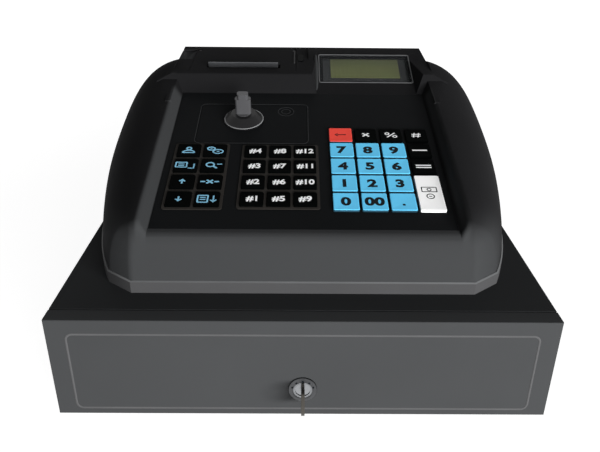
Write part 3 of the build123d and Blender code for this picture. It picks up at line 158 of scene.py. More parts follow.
FINISHES = {
    # Polyester powder baked on sheet steel: a low orange peel about 1.5 mm across, matt.
    "powder_coated_steel": Finish("case_paint", 0.07, 0.66, 1.5, 0.012, 90, specular=0.012),
    # The same powder coat on the bent sheet of the case, painted darker than on its front: painted shade on
    # the case's top and sides.
    "powder_coat_painted_shade": Finish("case_paint_shaded", 0.07, 0.66, 1.5, 0.012, 90, specular=0.012),
    # ABS moulded in a spark-eroded tool: a fine even matt grain, drawn at 0.6 mm so that it
    # shows. It is painted paler as painted light at the front up to the apron, and with painted
    # highlights on the rims beside the keys and in the scoop beside the printer's cover.
    "spark_eroded_abs": Finish(
        "housing", 0.08, 0.72, 0.6, 0.012, 110, specular=0.008, rubbed="housing_painted_light", painted_light_zones=HOUSING_PAINTED_LIGHT,
    ),
    # The same ABS painted paler all over as a painted highlight, on the rounded side of the display's hood.
    "hood_highlight_abs": Finish("housing_painted_light", 0.1, 0.6, 0.6, 0.01, 50, specular=0.02),
    # The same ABS in a paler grey on the low band of the pan, and on the strip beside the printer's cover,
    # where it is a painted highlight.
    "pale_band_and_highlight_abs": Finish("band", 0.08, 0.6, 0.6, 0.01, 60, specular=0.02),
    # The same ABS painted pale on the sloping edge of the band, as a painted highlight.
    "band_edge_highlight_abs": Finish("band_edge_highlight", 0.12, 0.5, 0.6, 0.008, 30, specular=0.03),
    # Moulded black epoxy of the chips on a board: dense, with a dull gloss.
    "epoxy_package": Finish("chips", 0.1, 0.5, 0.4, 0.006, 10, specular=0.3),
    # Pale grey on the bead round the mode lock, a painted highlight of its rim: thin and uneven.
    "lock_ring_highlight": Finish("lock_bead_highlight", 0.12, 0.5, 0.4, 0.004, 20, specular=0.08),
    # The same paint, darker, on the bead round a window.
    "grey_bead_print": Finish("window_bead", 0.12, 0.5, 0.4, 0.004, 20, specular=0.08),
    # Back-printed polycarbonate overlay: nearly black, with a velvet face.
    "matt_polycarbonate_film": Finish("panel", 0.12, 0.55, 0.5, 0.004, 80, specular=0.012),
    # The same film where its grid is printed dark grey, a little duller.
    "grey_printed_rib": Finish("rib", 0.1, 0.6, 0.5, 0.004, 50, specular=0.03),
    # Black film on a key cap: deep black with a low satin gloss.
    "black_key_film": Finish("black_key", 0.2, 0.4, 0.8, 0.003, 30, specular=0.004),
    # Bright blue film on a key cap, with the soft sheen of satin.
    "sky_blue_key_film": Finish("blue_key", 0.05, 0.42, 0.8, 0.003, 50, specular=0.12),
    # Red film on a key cap, satin as the blue one.
    "red_key_film": Finish("red_key", 0.05, 0.42, 0.8, 0.003, 50, specular=0.1),
    # Side of a coloured key's cap: the same plastic, painted dark below its printed face as painted shade in
    # the gaps between the keys.
    "key_side_painted_shade": Finish("key_skirt", 0.05, 0.42, 0.8, 0.003, 30, specular=0.02),
    # White film on a key cap, satin as the blue one.
    "white_key_film": Finish("white_key", 0.03, 0.42, 0.8, 0.003, 50, specular=0.15),
    # Screen-printed white ink on a key, a little uneven.
    "white_print": Finish("white_ink", 0.15, 0.6, 0.3, 0.004, 6, specular=0.1),
    # Screen-printed pale blue ink, as uneven as the white.
    "pale_blue_print": Finish("blue_ink", 0.15, 0.6, 0.3, 0.004, 6, specular=0.1),
    # Screen-printed blue-black ink on the bright keys and the drawer's lock: flat, without sheen.
    "dark_print": Finish("dark_ink", 0.15, 0.6, 0.3, 0.004, 6, specular=0.08),
    # Silver-grey on the bead round the drawer's front, paler than the front as a painted highlight of its
    # emboss: thin, a little uneven.
    "front_bead_highlight": Finish("front_bead_highlight_tone", 0.12, 0.55, 0.3, 0.004, 20, specular=0.1),
    # Thin dark grey ink line on the panel, flat and dull.
    "grey_line_print": Finish("panel_line", 0.12, 0.55, 0.3, 0.004, 20, specular=0.04),
    # Moulded grey acetal: waxy, softly glossy.
    "grey_acetal": Finish("mode_key", 0.1, 0.4, 0.9, 0.006, 20, specular=0.25),
    # Glass-filled black nylon of the mode lock's bezel: a faint fibrous grain under a low gloss.
    "black_dome_nylon": Finish("mode_dome", 0.12, 0.42, 0.5, 0.008, 20, specular=0.2),
    # Chrome plate on a zinc die casting: a mirror with faint polishing marks.
    "polished_chrome": Finish("chrome", 0.08, 0.16, 0.4, 0.003, 10, metallic=1.0),
    # Chrome plate over a bead-blasted face: greyer, with a soft bloom.
    "satin_chrome": Finish("satin_ring", 0.15, 0.34, 0.4, 0.006, 6, metallic=1.0),
    # Flat key stamped from brass and nickel plated, scuffed by use.
    "nickel_plated_brass": Finish("drawer_key", 0.15, 0.32, 0.5, 0.006, 8, metallic=1.0),
    # Bright zinc plate on sheet steel: pale grey with cloudy spangle.
    "zinc_plated_steel": Finish("zinc", 0.16, 0.36, 1.2, 0.006, 18, metallic=1.0),
    # Black-oxide finish of the small screws: dark, with an oily lustre.
    "blackened_screw_steel": Finish("screw", 0.2, 0.4, 0.4, 0.004, 5, metallic=1.0),
    # Cold-rolled stainless strip of the tear bar, dulled by paper dust.
    "rolled_stainless": Finish("tear_bar", 0.12, 0.4, 0.3, 0.004, 10, metallic=1.0),
    # Injection-moulded high-impact polystyrene of the till insert: smooth, dull black.
    "black_polystyrene": Finish("till", 0.1, 0.45, 1.0, 0.008, 40, specular=0.3),
    # Moulded nitrile rubber: matt, slightly dusty.
    "nitrile_rubber": Finish("rubber", 0.25, 0.85, 0.8, 0.01, 20, specular=0.2),
    # Coated thermal paper: smooth white with a faint tooth.
    "thermal_paper": Finish("paper", 0.05, 0.75, 0.25, 0.006, 30, specular=0.3),
    # Glass-epoxy board under green solder mask: glossy, with the weave showing through as a grain.
    "solder_mask_board": Finish("board", 0.2, 0.35, 0.7, 0.01, 6, specular=0.4),
    # Dark grey ABS frame of the printer, as moulded: even, with a low gloss.
    "grey_mechanism_abs": Finish("mechanism", 0.12, 0.5, 0.6, 0.01, 30, specular=0.3),
    # Cast acrylic window with a light smoke tint and a polished face.
    "smoked_acrylic": Finish("window", 0.05, 0.1, 3.0, 0.001, 50, alpha=0.12, specular=0.08),
    # Pressed steel bezel of the display module, painted dark grey: even and dull.
    "painted_bezel": Finish("lcd_bezel", 0.12, 0.5, 0.6, 0.006, 30, specular=0.08),
}


def finish_of(name):
    """The material of one row of FINISHES: its grain in relief, its slow drifts and its zones of painted
    light.
    """
    material = bpy.data.materials.get(name)
    if material:
        return material
    row = FINISHES[name]
    material = bpy.data.materials.new(name)
    tree = bare_tree(material)
    place = add_node(tree, "ShaderNodeTexCoord").outputs["Object"]
    fine = add_node(
        tree, "ShaderNodeTexNoise", None, {"Vector": place, "Scale": 1 / (row.grain * MM), "Detail": 3.0}
    )
    slow = add_node(
        tree, "ShaderNodeTexNoise", None, {"Vector": place, "Scale": 1 / (row.mottle * MM), "Detail": 4.0}
    )
    spread = add_node(
        tree,
        "ShaderNodeMapRange",
        None,
        {"Value": slow.outputs["Fac"], "From Min": 0.3, "From Max": 0.7},
    )
    colour = tone_of(row.colour)
    tone = add_node(
        tree,
        "ShaderNodeMix",
        {"data_type": "RGBA"},
        {"Factor": spread.outputs["Result"], "A": colour, "B": dimmed(colour, row.drift)},
    )
    for zone in row.painted_light_zones:
        along = add_node(tree, "ShaderNodeSeparateXYZ", None, {"Vector": place})
        share = None
        for axis, full, ended in zone:
            step = add_node(
                tree,
                "ShaderNodeMapRange",
                {"interpolation_type": "SMOOTHSTEP"},
                {
                    "Value": along.outputs[axis],
                    "From Min": full,
                    "From Max": ended,
                    "To Min": 1.0,
                    "To Max": 0.0,
                },
            ).outputs["Result"]
            if share:
                step = add_node(
                    tree, "ShaderNodeMath", {"operation": "MULTIPLY"}, {0: share, 1: step}
                ).outputs[0]
            share = step
        # The zone mixes in the paler colour: painted light.
        tone = add_node(
            tree,
            "ShaderNodeMix",
            {"data_type": "RGBA"},
            {"Factor": share, "A": tone.outputs["Result"], "B": tone_of(row.rubbed)},
        )
    gloss = add_node(
        tree,
        "ShaderNodeMapRange",
        None,
        {
            "Value": slow.outputs["Fac"],
            "To Min": row.roughness - GLOSS_DRIFT,
            "To Max": row.roughness + GLOSS_DRIFT,
        },
    )
    relief = add_node(
        tree,
        "ShaderNodeBump",
        None,
        {"Height": fine.outputs["Fac"], "Strength": GRAIN_STRENGTH, "Distance": row.depth * MM},
    )
    shader = add_node(
        tree,
        "ShaderNodeBsdfPrincipled",
        None,
        {
            "Base Color": tone.outputs["Result"],
            "Roughness": gloss.outputs["Result"],
            "Normal": relief.outputs["Normal"],
            "Specular IOR Level": row.specular,
            "Metallic": row.metallic,
            "Alpha": row.alpha,
        },
    )
    add_node(tree, "ShaderNodeOutputMaterial", None, {"Surface": shader.outputs["BSDF"]})
    return material


def green_lcd_glass():
    # Yellow-green twisted nematic glass over its reflector, with the faint grid of its cells: 16
    # across and 4 rows. It darkens over its upper half, in the shade of the hood.
    material = bpy.data.materials.get("green_lcd_glass")
    if material:
        return material
    lit = tone_of("lcd_glass")
    material = bpy.data.materials.new("green_lcd_glass")
    tree = bare_tree(material)
    place = add_node(tree, "ShaderNodeTexCoord").outputs["UV"]
    cells = add_node(
        tree,
        "ShaderNodeTexBrick",
        {"offset": 0.0, "squash": 1.0},
        {
            "Vector": place,
            "Color1": lit,
            "Color2": dimmed(lit, 0.06),
            "Mortar": dimmed(lit, 0.2),
            "Scale": 1.0,
            "Mortar Size": 0.006,
            "Brick Width": 1 / 16,
            "Row Height": 1 / 4,
        },
    )
    height = add_node(tree, "ShaderNodeSeparateXYZ", None, {"Vector": place})
    shade = add_node(
        tree,
        "ShaderNodeMapRange",
        None,
        {"Value": height.outputs["Y"], "From Min": 0.45, "From Max": 1.0, "To Min": 0.0, "To Max": 0.45},
    )
    dark = add_node(
        tree,
        "ShaderNodeMix",
        {"data_type": "RGBA"},
        {"Factor": shade.outputs["Result"], "A": cells.outputs["Color"], "B": tone_of("lcd_bezel")},
    )
    cloud = add_node(tree, "ShaderNodeTexNoise", None, {"Vector": place, "Scale": 3.0})
    tint = add_node(
        tree,
        "ShaderNodeMix",
        {"data_type": "RGBA", "blend_type": "MULTIPLY"},
        {"Factor": 0.12, "A": dark.outputs["Result"], "B": cloud.outputs["Color"]},
    )
    shader = add_node(
        tree,
        "ShaderNodeBsdfPrincipled",
        None,
        {"Base Color": tint.outputs["Result"], "Roughness": 0.35, "Specular IOR Level": 0.1},
    )
    add_node(tree, "ShaderNodeOutputMaterial", None, {"Surface": shader.outputs["BSDF"]})
    return material


# ---------------------------------------------------------------- planes and places of the object
def plane(origin, tilt, turned_round=False):
    """Origin in metres and the x, y and outward axes of a plane that rises by tilt degrees."""
    rise = math.radians(tilt)
    side = -1.0 if turned_round else 1.0
    across = [side, 0, 0]
    upward = [0, side * math.cos(rise), math.sin(rise)]
    outward = [0, -side * math.sin(rise), math.cos(rise)]
    return np.array(origin) * MM, np.array([across, upward, outward])


# The key panel's deck, the operator's display, the printer's deck, the rear face, both sides of
# the drawer and its front.
DECK = plane((0, -169, 110.0), 15.47)
DISPLAY = plane((0, 48, 170.05), 21.0)
PRINTER_DECK = plane((0, 57, 185.05), 5.42)
REAR = plane((0, 158, 89.6), 77.94, True)
RIGHT_SIDE = (np.array((165, 0, 0)) * MM, np.array([[0, 1, 0], [0, 0, 1], [1, 0, 0]]))
LEFT_SIDE = (np.array((-165, 0, 0)) * MM, np.array([[0, -1, 0], [0, 0, 1], [-1, 0, 0]]))
DRAWER_FACE = (np.array((0, -169, 0)) * MM, np.array([[1, 0, 0], [0, 0, 1], [0, -1, 0]]))

# Places on those planes, in millimetres.
RAIL_SCREWS = [(-118, 38), (0, 38), (118, 38)]
REAR_SCREWS = [(-106, 13), (106, 13), (-106, 58), (106, 58)]
# Middle of the groove round the drawer's front: half its width, its foot and its head.
OUTLINE_HALF, OUTLINE_LOW, OUTLINE_HIGH = 151.9, 10.2, 70.0
OUTLINE_CORNER = 4.4
# The cover over the fiscal memory, as an outline on the key panel: middle, size and corner.
COVER_LINE = (-40.5, 177.25, 89.4, 57.9, 4.3)
SEAL = (-14, 195)
SEAL_RING, SEAL_CORE = 6.5, 3.6
MODE_LOCK = (-48.2, 181.5)
# Each display: its plane, its window's middle and height, and its glass's middle, width and height.
SCREENS = (
    ("operator", DISPLAY, (56.6, 38.8, 44.2), (57.0, 42.6, 62.6, 29.2)),
    ("customer", REAR, (-56.6, 84.0, 25.2), (-56.6, 84.0, 60.0, 15.0)),
)
WINDOW_WIDTH = 83.2
# The tear bar: its middle across the printer's deck and its place along it.
TEAR_BAR_X, TEAR_BAR_Y = -53, 18.1
# Jacks in the rear face: the x of each, and how many contacts it holds at what pitch.
JACKS = (46, 72, 98)
CONTACTS_PER_JACK, CONTACT_PITCH = 8, 1.15


def onto(where, points):
    """Points given as x, y and height on a plane, in metres, as points of the frame."""
    origin, axes = where
    return origin + np.asarray(points, dtype=float) @ axes


def seen_on(where, points):
    """Points of the frame as x, y and height on a plane."""
    origin, axes = where
    return (np.asarray(points, dtype=float) - origin) @ axes.T


def rows_of(items, field):
    """A vector field of every item of a mesh, such as its vertices' places, as rows of three."""
    flat = np.empty(len(items) * 3, dtype=np.float32)
    items.foreach_get(field, flat)
    return flat.reshape(-1, 3).astype(float)


def numbers_of(items, field):
    """A whole-number field of every item of a mesh."""
    flat = np.empty(len(items), dtype=np.int32)
    items.foreach_get(field, flat)
    return flat


def vertices_of(name):
    """The vertices of a CAD node at rest, in metres."""
    return rows_of(frame["nodes"][name].data.vertices, "co")


# ---------------------------------------------------------------- mesh helpers
# Degrees past which an edge stays sharp, on a CAD node's copy and on a half-round rib.
CAD_SMOOTH, RIB_SMOOTH = 28.0, 60.0


def skin(rows, closed=True, ends=True):
    """Quads between neighbouring rows of points, with a fan round the middle of each end row.

    rows has the shape (rows, points, 3); closed joins each row's last point to its first.
    """
    rows = np.asarray(rows, dtype=float)
    count, size = rows.shape[:2]
    reach = size if closed else size - 1
    i, j = np.meshgrid(np.arange(count - 1), np.arange(reach), indexing="ij")
    k = (j + 1) % size
    corners = [i * size + j, i * size + k, (i + 1) * size + k, (i + 1) * size + j]
    points = rows.reshape(-1, 3)
    faces = np.stack(corners, axis=-1).reshape(-1, 4).tolist()
    if ends and closed:
        around = np.arange(size)
        following = (around + 1) % size
        first = len(points)
        last_row = (count - 1) * size
        points = np.vstack([points, rows[0].mean(axis=0), rows[-1].mean(axis=0)])
        foot = [following, around, np.full(size, first)]
        head = [last_row + around, last_row + following, np.full(size, first + 1)]
        faces += np.stack(foot, axis=-1).tolist()
        faces += np.stack(head, axis=-1).tolist()
    return points, faces


def joined(parts):
    """Several skins as one list of points and one list of faces."""
    points, faces, start = [], [], 0
    for part_points, part_faces in parts:
        points.append(part_points)
        faces += [[start + v for v in face] for face in part_faces]
        start += len(part_points)
    return np.vstack(points), faces


def moved(part, x, y, z):
    """A part moved by x, y and z, in metres."""
    points, faces = part
    return points + np.array([x, y, z]), faces


def laid(where, part):
    """A part made in a plane's own x, y and height, placed on that plane."""
    points, faces = part
    return onto(where, points), faces


def make_piece(name, part, material, body, replaces=(), smooth=30.0, bevel=0.0):
    """An object from points and faces, with its doubles merged and its faces turned outwards.

    Edges that bend by more than smooth degrees stay sharp.
    """
    points, faces = part
    mesh = bpy.data.meshes.new(name)
    mesh.from_pydata(np.asarray(points).tolist(), [], faces)
    worked = bmesh.new()
    worked.from_mesh(mesh)
    bmesh.ops.remove_doubles(worked, verts=worked.verts, dist=1e-7)
    bmesh.ops.recalc_face_normals(worked, faces=worked.faces)
    worked.to_mesh(mesh)
    worked.free()
    return finish_piece(name, mesh, material, body, replaces, smooth, bevel)


def finish_piece(name, mesh, material, body, replaces, smooth, bevel):
    """Shading, material and body of a new piece; bevel is the radius of its edges, or 0."""
    mesh.shade_smooth()
    mesh.set_sharp_from_angle(angle=math.radians(smooth))
    mesh.materials.clear()
    for each in material if isinstance(material, list) else [material]:
        mesh.materials.append(each)
    piece = bpy.data.objects.new(name, mesh)
    bpy.context.scene.collection.objects.link(piece)
    if bevel:
        edge = piece.modifiers.new("soft_edge", "BEVEL")
        edge.width = bevel
        edge.segments = 2
        edge.limit_method = "ANGLE"
        edge.angle_limit = math.radians(35)
        edge.harden_normals = False
    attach(piece, body)
    if replaces:
        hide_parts(*replaces)
    return piece


def dressed(node, material, bevel=0.0):
    """A copy of a CAD node's mesh with its loose triangles merged and its round forms smooth."""
    source = frame["nodes"][node]
    mesh = source.data.copy()
    for stale in ("custom_normal", "sharp_face", "sharp_edge"):
        if stale in mesh.attributes:
            mesh.attributes.remove(mesh.attributes[stale])
    worked = bmesh.new()
    worked.from_mesh(mesh)
    bmesh.ops.remove_doubles(worked, verts=worked.verts, dist=2e-6)
    bmesh.ops.dissolve_degenerate(worked, edges=worked.edges, dist=1e-6)
    worked.to_mesh(mesh)
    worked.free()
    body = body_of(source)[0]
    return finish_piece(node + "_finish", mesh, material, body, (node,), CAD_SMOOTH, bevel)


def paint_faces(piece, index, chosen):
    """Gives the faces that chosen picks, by their middles and normals, another of the piece's materials."""
    polygons = piece.data.polygons
    kept = numbers_of(polygons, "material_index")
    kept[chosen(rows_of(polygons, "center"), rows_of(polygons, "normal"))] = index
    polygons.foreach_set("material_index", kept)
    piece.data.update()


def lay_map(piece, where, cx, cy, width, height):
    """A UV map that runs from 0 to 1 across a rectangle of the plane, in millimetres."""
    mesh = piece.data
    layer = mesh.uv_layers.new(name="picture")
    seen = seen_on(where, rows_of(mesh.vertices, "co")) / MM
    spread = np.column_stack([(seen[:, 0] - cx) / width + 0.5, (seen[:, 1] - cy) / height + 0.5])
    corners = numbers_of(mesh.loops, "vertex_index")
    layer.uv.foreach_set("vector", spread[corners].astype(np.float32).ravel())


# ---------------------------------------------------------------- shapes
FOOT_SUNK = 0.05  # millimetres by which a rib's foot lies under the face that carries it
INK_HALF = 0.03 * MM  # half the thickness of a printed line


def rounded_outline(width, height, radius, steps=5):
    """Points of a rectangle with rounded corners.

    Each corner is its middle plus the radius turned through 90 degrees.
    """
    radius = max(min(radius, width / 2, height / 2), 1e-6)
    turn = np.linspace(0, math.pi / 2, steps)
    corners = ((1, 1, 0.0), (-1, 1, 0.5), (-1, -1, 1.0), (1, -1, 1.5))
    runs = [
        np.stack(
            [
                sx * (width / 2 - radius) + radius * np.cos(turn + start * math.pi),
                sy * (height / 2 - radius) + radius * np.sin(turn + start * math.pi),
            ],
            axis=-1,
        )
        for sx, sy, start in corners
    ]
    return np.vstack(runs)


def turned(profile, steps):
    """A profile of radius and height carried once round the upright axis."""
    profile = np.asarray(profile, dtype=float)
    angle = np.linspace(0, 2 * math.pi, steps, endpoint=False)
    ring = np.stack([np.cos(angle), np.sin(angle)], axis=-1)
    around = profile[:, None, :1] * ring[None, :, :]
    heights = np.repeat(profile[:, None, 1:], steps, axis=1)
    return skin(np.concatenate([around, heights], axis=-1))


def slab(cx, cy, width, height, radius, low, high):
    """A rounded rectangle carried straight up from low to high, all in millimetres."""
    outline = rounded_outline(width, height, radius) + np.array([cx, cy])
    rows = [np.column_stack([outline, np.full(len(outline), level)]) for level in (low, high)]
    points, faces = skin(np.array(rows))
    return points * MM, faces


def bead(cx, cy, width, height, radius, half, rise, steps=6):
    """A half-round rib carried once round a rounded rectangle, in millimetres.

    Across the path the rib lies at half * cos(a) and stands rise * sin(a) high, a from 0 to 180
    degrees, over a foot that is sunk a little.
    """
    path = rounded_outline(width, height, radius, steps) + np.array([cx, cy])
    along = np.roll(path, -1, axis=0) - np.roll(path, 1, axis=0)
    along /= np.linalg.norm(along, axis=1)[:, None]
    outward = np.column_stack([along[:, 1], -along[:, 0]])
    turn = np.linspace(0, math.pi, 7)
    across, up = half * np.cos(turn), rise * np.sin(turn)
    across, up = np.append(across, 0.0), np.append(up, -FOOT_SUNK)
    flat = path[:, None, :] + outward[:, None, :] * across[None, :, None]
    rows = np.concatenate([flat, np.broadcast_to(up[None, :, None], (*flat.shape[:2], 1))], axis=-1)
    points, faces = skin(np.concatenate([rows, rows[:1]]), ends=False)
    return points * MM, faces


def ring_bead(cx, cy, radius, half, rise):
    """The same rib round a circle."""
    return bead(cx, cy, 2 * radius, 2 * radius, radius, half, rise, steps=17)


def tapered_rib(x, start, end, half, rise):
    """A half-round rib along y in millimetres, at rise * sin(a) high, that sinks away at both ends.

    Its size is scaled by (sin(pi * t)) ** 0.35 as t goes from 0 to 1 along it.
    """
    along = np.linspace(0, 1, 25)
    scale = np.sin(math.pi * np.clip(along, 0.002, 0.998)) ** 0.35
    turn = np.linspace(0, math.pi, 9)
    rows = np.stack(
        [
            x + half * scale[:, None] * np.cos(turn)[None, :],
            np.broadcast_to((start + (end - start) * along)[:, None], (len(along), len(turn))),
            rise * scale[:, None] * np.sin(turn)[None, :] - FOOT_SUNK,
        ],
        axis=-1,
    )
    points, faces = skin(rows)
    return points * MM, faces


def tear_teeth(length, pitch, y, low, high):
    """A thin upright blade in millimetres, whose top runs between low and high every half pitch."""
    x = np.arange(-length / 2, length / 2 + 0.01, pitch / 2)
    tops = np.where(np.arange(len(x)) % 2 == 0, low, high)
    foot = np.full(len(x), low - 1.0)
    back, front = np.full(len(x), y - 0.2), np.full(len(x), y + 0.2)
    corners = [(back, foot), (front, foot), (front, tops), (back, tops)]
    rows = np.stack([np.column_stack([x, *corner]) for corner in corners], axis=1)
    points, faces = skin(rows)
    return points * MM, faces


def stroke(path, width, closed=False):
    """A flat band of the given width carried along a path in the plane, twice INK_HALF thick.

    Each point moves half the width to both sides along the normal of the path there.
    """
    path = np.asarray(path, dtype=float) * MM
    half = width * MM / 2
    if closed:
        along = np.roll(path, -1, axis=0) - np.roll(path, 1, axis=0)
    else:
        along = np.gradient(path, axis=0)
    along /= np.linalg.norm(along, axis=1)[:, None]
    normal = np.column_stack([-along[:, 1], along[:, 0]])
    left, right = path + normal * half, path - normal * half
    corners = [(left, INK_HALF), (right, INK_HALF), (right, -INK_HALF), (left, -INK_HALF)]
    rows = [np.column_stack([edge, np.full(len(path), level)]) for edge, level in corners]
    ring = np.stack(rows, axis=1)
    if closed:
        return skin(np.concatenate([ring, ring[:1]]), ends=False)
    return skin(ring)


def loop(cx, cy, rx, ry, steps=28):
    """Points once round an ellipse."""
    angle = np.linspace(0, 2 * math.pi, steps, endpoint=False)
    return np.column_stack([cx + rx * np.cos(angle), cy + ry * np.sin(angle)])


def box_path(cx, cy, width, height, radius=0.4):
    """Points once round a rectangle with rounded corners."""
    return rounded_outline(width, height, radius, 4) + np.array([cx, cy])


def screw(x, y, radius):
    """A low domed head turned about its axis, in millimetres: its rise is 0.34 of its radius."""
    rise = 0.34 * radius
    head = [(1.0, 0), (1.0, 0.3), (0.86, 0.7), (0.5, 0.95), (0.25, 1.0)]
    points, faces = turned([(out * radius, up * rise) for out, up in head], 24)
    return (points + np.array([x, y, 0])) * MM, faces


def screw_cross(x, y, radius):
    """The two bars of a head's crossed recess, just over its top, in millimetres."""
    reach, width = 0.5 * radius, 0.26 * radius
    bars = [
        stroke([(x - reach, y), (x + reach, y)], width),
        stroke([(x, y - reach), (x, y + reach)], width),
    ]
    return moved(joined(bars), 0, 0, 0.36 * radius * MM)


def add_screws(name, where, spots, body):
    """Blackened screw heads and their crossed recesses, at spots of a plane in millimetres."""
    radius = bpy.context.scene.register_sizes.screw_head / MM
    heads = joined([screw(x, y, radius) for x, y in spots])
    crosses = joined([screw_cross(x, y, radius) for x, y in spots])
    make_piece(name + "_screws", laid(where, heads), finish_of("blackened_screw_steel"), body)
    make_piece(name + "_screw_crosses", laid(where, crosses), finish_of("nitrile_rubber"), body)


# ---------------------------------------------------------------- sizes and colours a user may change
def length_setting(name, size, description):
    """A length property whose default is given in millimetres."""
    return FloatProperty(name=name, description=description, default=size * MM, unit="LENGTH")


def colour_setting(name, text, description):
    """A colour property whose default is an sRGB hex value."""
    return FloatVectorProperty(
        name=name, description=description, subtype="COLOR", size=4, min=0.0, max=1.0, default=linear(text)
    )


class RegisterSizes(bpy.types.PropertyGroup):
    """Sizes of the fine detail."""

    key_edge: length_setting("Key edge", 0.5, "Radius of the edge round a key's face")
    key_dish: length_setting("Key dish", 0.2, "How far the middle of a key's face lies below its rim")
    big_digit: length_setting("Number height", 8.6, "Height of a digit on the number keys")
    small_digit: length_setting("Item number height", 5.6, "Height of a digit on the item keys")
    sheet_edge: length_setting("Folded edge", 0.8, "Outer radius of a fold in the drawer's sheet")
    bead: length_setting("Window bead", 0.9, "Width of the bead round a display's window")
    line: length_setting("Panel line", 0.45, "Width of the outline and rings on the key panel")
    screw_head: length_setting("Screw head", 3.0, "Radius of the small screws' heads")


class RegisterColours(bpy.types.PropertyGroup):
    """Colours of the finishes."""

    case_paint: colour_setting("Front paint", "#3c3d3e", "Powder coat of the drawer's front")
    # Darker copy of the front paint: painted shade on the case's top and sides.
    case_paint_shaded: colour_setting("Case paint", "#2f3031", "Powder coat of the drawer's case")
    housing: colour_setting("Housing", "#1b1b1c", "Moulded housing")
    # Paler housing colour: painted light on the front up to the apron, painted highlights on the rims, the
    # scoop and the hood's edge.
    housing_painted_light: colour_setting("Rubbed housing", "#353637", "Moulded housing where palms have rubbed it")
    # Also the strip beside the printer's cover, where this paler grey is a painted highlight.
    band: colour_setting("Pan band", "#414142", "Low band of the base pan")
    # Painted highlight on the sloping edge of the pan's band.
    band_edge_highlight: colour_setting("Band edge", "#58595a", "Worn edge of the base pan's band")
    panel: colour_setting("Key panel", "#111213", "Overlay of the key panel")
    rib: colour_setting("Panel ribs", "#282624", "Printed ribs round the keys")
    panel_line: colour_setting("Panel line", "#313233", "Outline and seal rings on the key panel")
    black_key: colour_setting("Black keys", "#030404", "Function and item keys")
    blue_key: colour_setting("Blue keys", "#62c6f2", "Number keys")
    red_key: colour_setting("Red key", "#e8483c", "Clear key")
    white_key: colour_setting("White key", "#fbfbfb", "Tall key")
    # Painted shade on the sides of the blue and red keys.
    key_skirt: colour_setting("Key skirt", "#24414f", "Sides of the blue and red keys")
    white_ink: colour_setting("White print", "#f2f3f4", "Print on the black keys")
    blue_ink: colour_setting("Pale blue print", "#84bedb", "Print on the function keys")
    dark_ink: colour_setting("Dark print", "#050b10", "Print on the bright keys")
    # Painted highlight on the bead round the drawer's front.
    front_bead_highlight_tone: colour_setting("Front line", "#4f4f50", "Bead in the groove of the drawer's front")
    mode_key: colour_setting("Mode key", "#474749", "Key that stands in the mode lock")
    mode_dome: colour_setting("Mode lock", "#0e0e0f", "Domed bezel of the mode lock")
    chrome: colour_setting("Chrome", "#a2a4a7", "Plug face of the drawer lock")
    satin_ring: colour_setting("Lock ring", "#5c5d5f", "Face ring of the drawer lock")
    drawer_key: colour_setting("Drawer key", "#5f5c57", "Key that stands in the drawer lock")
    zinc: colour_setting("Zinc", "#a4aab0", "Tray, clips and solenoid")
    screw: colour_setting("Screws", "#3a3a3c", "Small screws")
    tear_bar: colour_setting("Tear bar", "#6e7073", "Serrated bar of the printer")
    till: colour_setting("Till insert", "#2b2b2d", "Note bays and coin cups")
    rubber: colour_setting("Rubber", "#262627", "Feet and platen")
    paper: colour_setting("Paper", "#f1f0ec", "Paper roll")
    board: colour_setting("Boards", "#1d5a3c", "Solder mask of the boards")
    mechanism: colour_setting("Mechanism", "#4a4b4d", "Frame of the printer")
    window: colour_setting("Window", "#3c4042", "Tint of the display windows")
    lcd_glass: colour_setting("Display glass", "#676d42", "Yellow-green glass of the displays")
    lcd_bezel: colour_setting("Display bezel", "#2c2d2e", "Frame round the glass")
    window_bead: colour_setting("Window bead", "#5a5b5c", "Bead round a display's window")
    # Painted highlight on the bead round the mode lock.
    lock_bead_highlight: colour_setting("Lock bead", "#727374", "Bead round the mode lock")
    chips: colour_setting("Chips", "#1b1b1c", "Packages on the boards")


class RegisterLight(bpy.types.PropertyGroup):
    """Lamps and room."""

    front: FloatProperty(
        name="Front lamp", description="Power of the low soft box in front", default=178.0, unit="POWER"
    )
    rear: FloatProperty(
        name="Rear lamp", description="Power of the soft box behind", default=45.0, unit="POWER"
    )
    room: FloatProperty(name="Room", description="Strength of the light from the room", default=0.055)


# ---------------------------------------------------------------- keys
FUNCTION_KEYS = [f"function_key_{i}" for i in range(1, 9)]
ITEM_KEYS = [f"item_key_{i}" for i in range(1, 13)]
NUMBER_KEYS = ["number_key_0", "number_key_00"] + [f"number_key_{i}" for i in range(1, 10)] + ["point_key"]
SMALL_KEYS = ["times_key", "percent_key", "code_key", "minus_key", "subtotal_key"]
ALL_KEYS = FUNCTION_KEYS + ITEM_KEYS + NUMBER_KEYS + SMALL_KEYS + ["clear_key", "total_key"]

# A cap: depth within which its face is measured, and corners of its face, stem and flange.
FACE_DEPTH = 0.9 * MM
KEY_CORNER, STEM_CORNER, FLANGE_CORNER = 1.1 * MM, 0.5 * MM, 0.8 * MM
KEY_STEM = 6.0 * MM
# Figures: their height as a share of the font's size, and the weight and stretch of each kind.
# Print lies INK_LIFT over the face it is on.
FIGURE_SHARE = 0.73
BIG_FIGURES = (0.55 * MM, 1.16)
SMALL_FIGURES = (0.25 * MM, 1.1)
SYMBOL_STRETCH = np.array([1.25, 1.1, 1.0])
INK_LIFT = 0.02 * MM


def key_finish(name):
    """Material and slot of a key."""
    if name in NUMBER_KEYS:
        return finish_of("sky_blue_key_film"), "blue_key"
    if name == "clear_key":
        return finish_of("red_key_film"), "red_key"
    if name == "total_key":
        return finish_of("white_key_film"), "white_key"
    return finish_of("black_key_film"), "black_key"


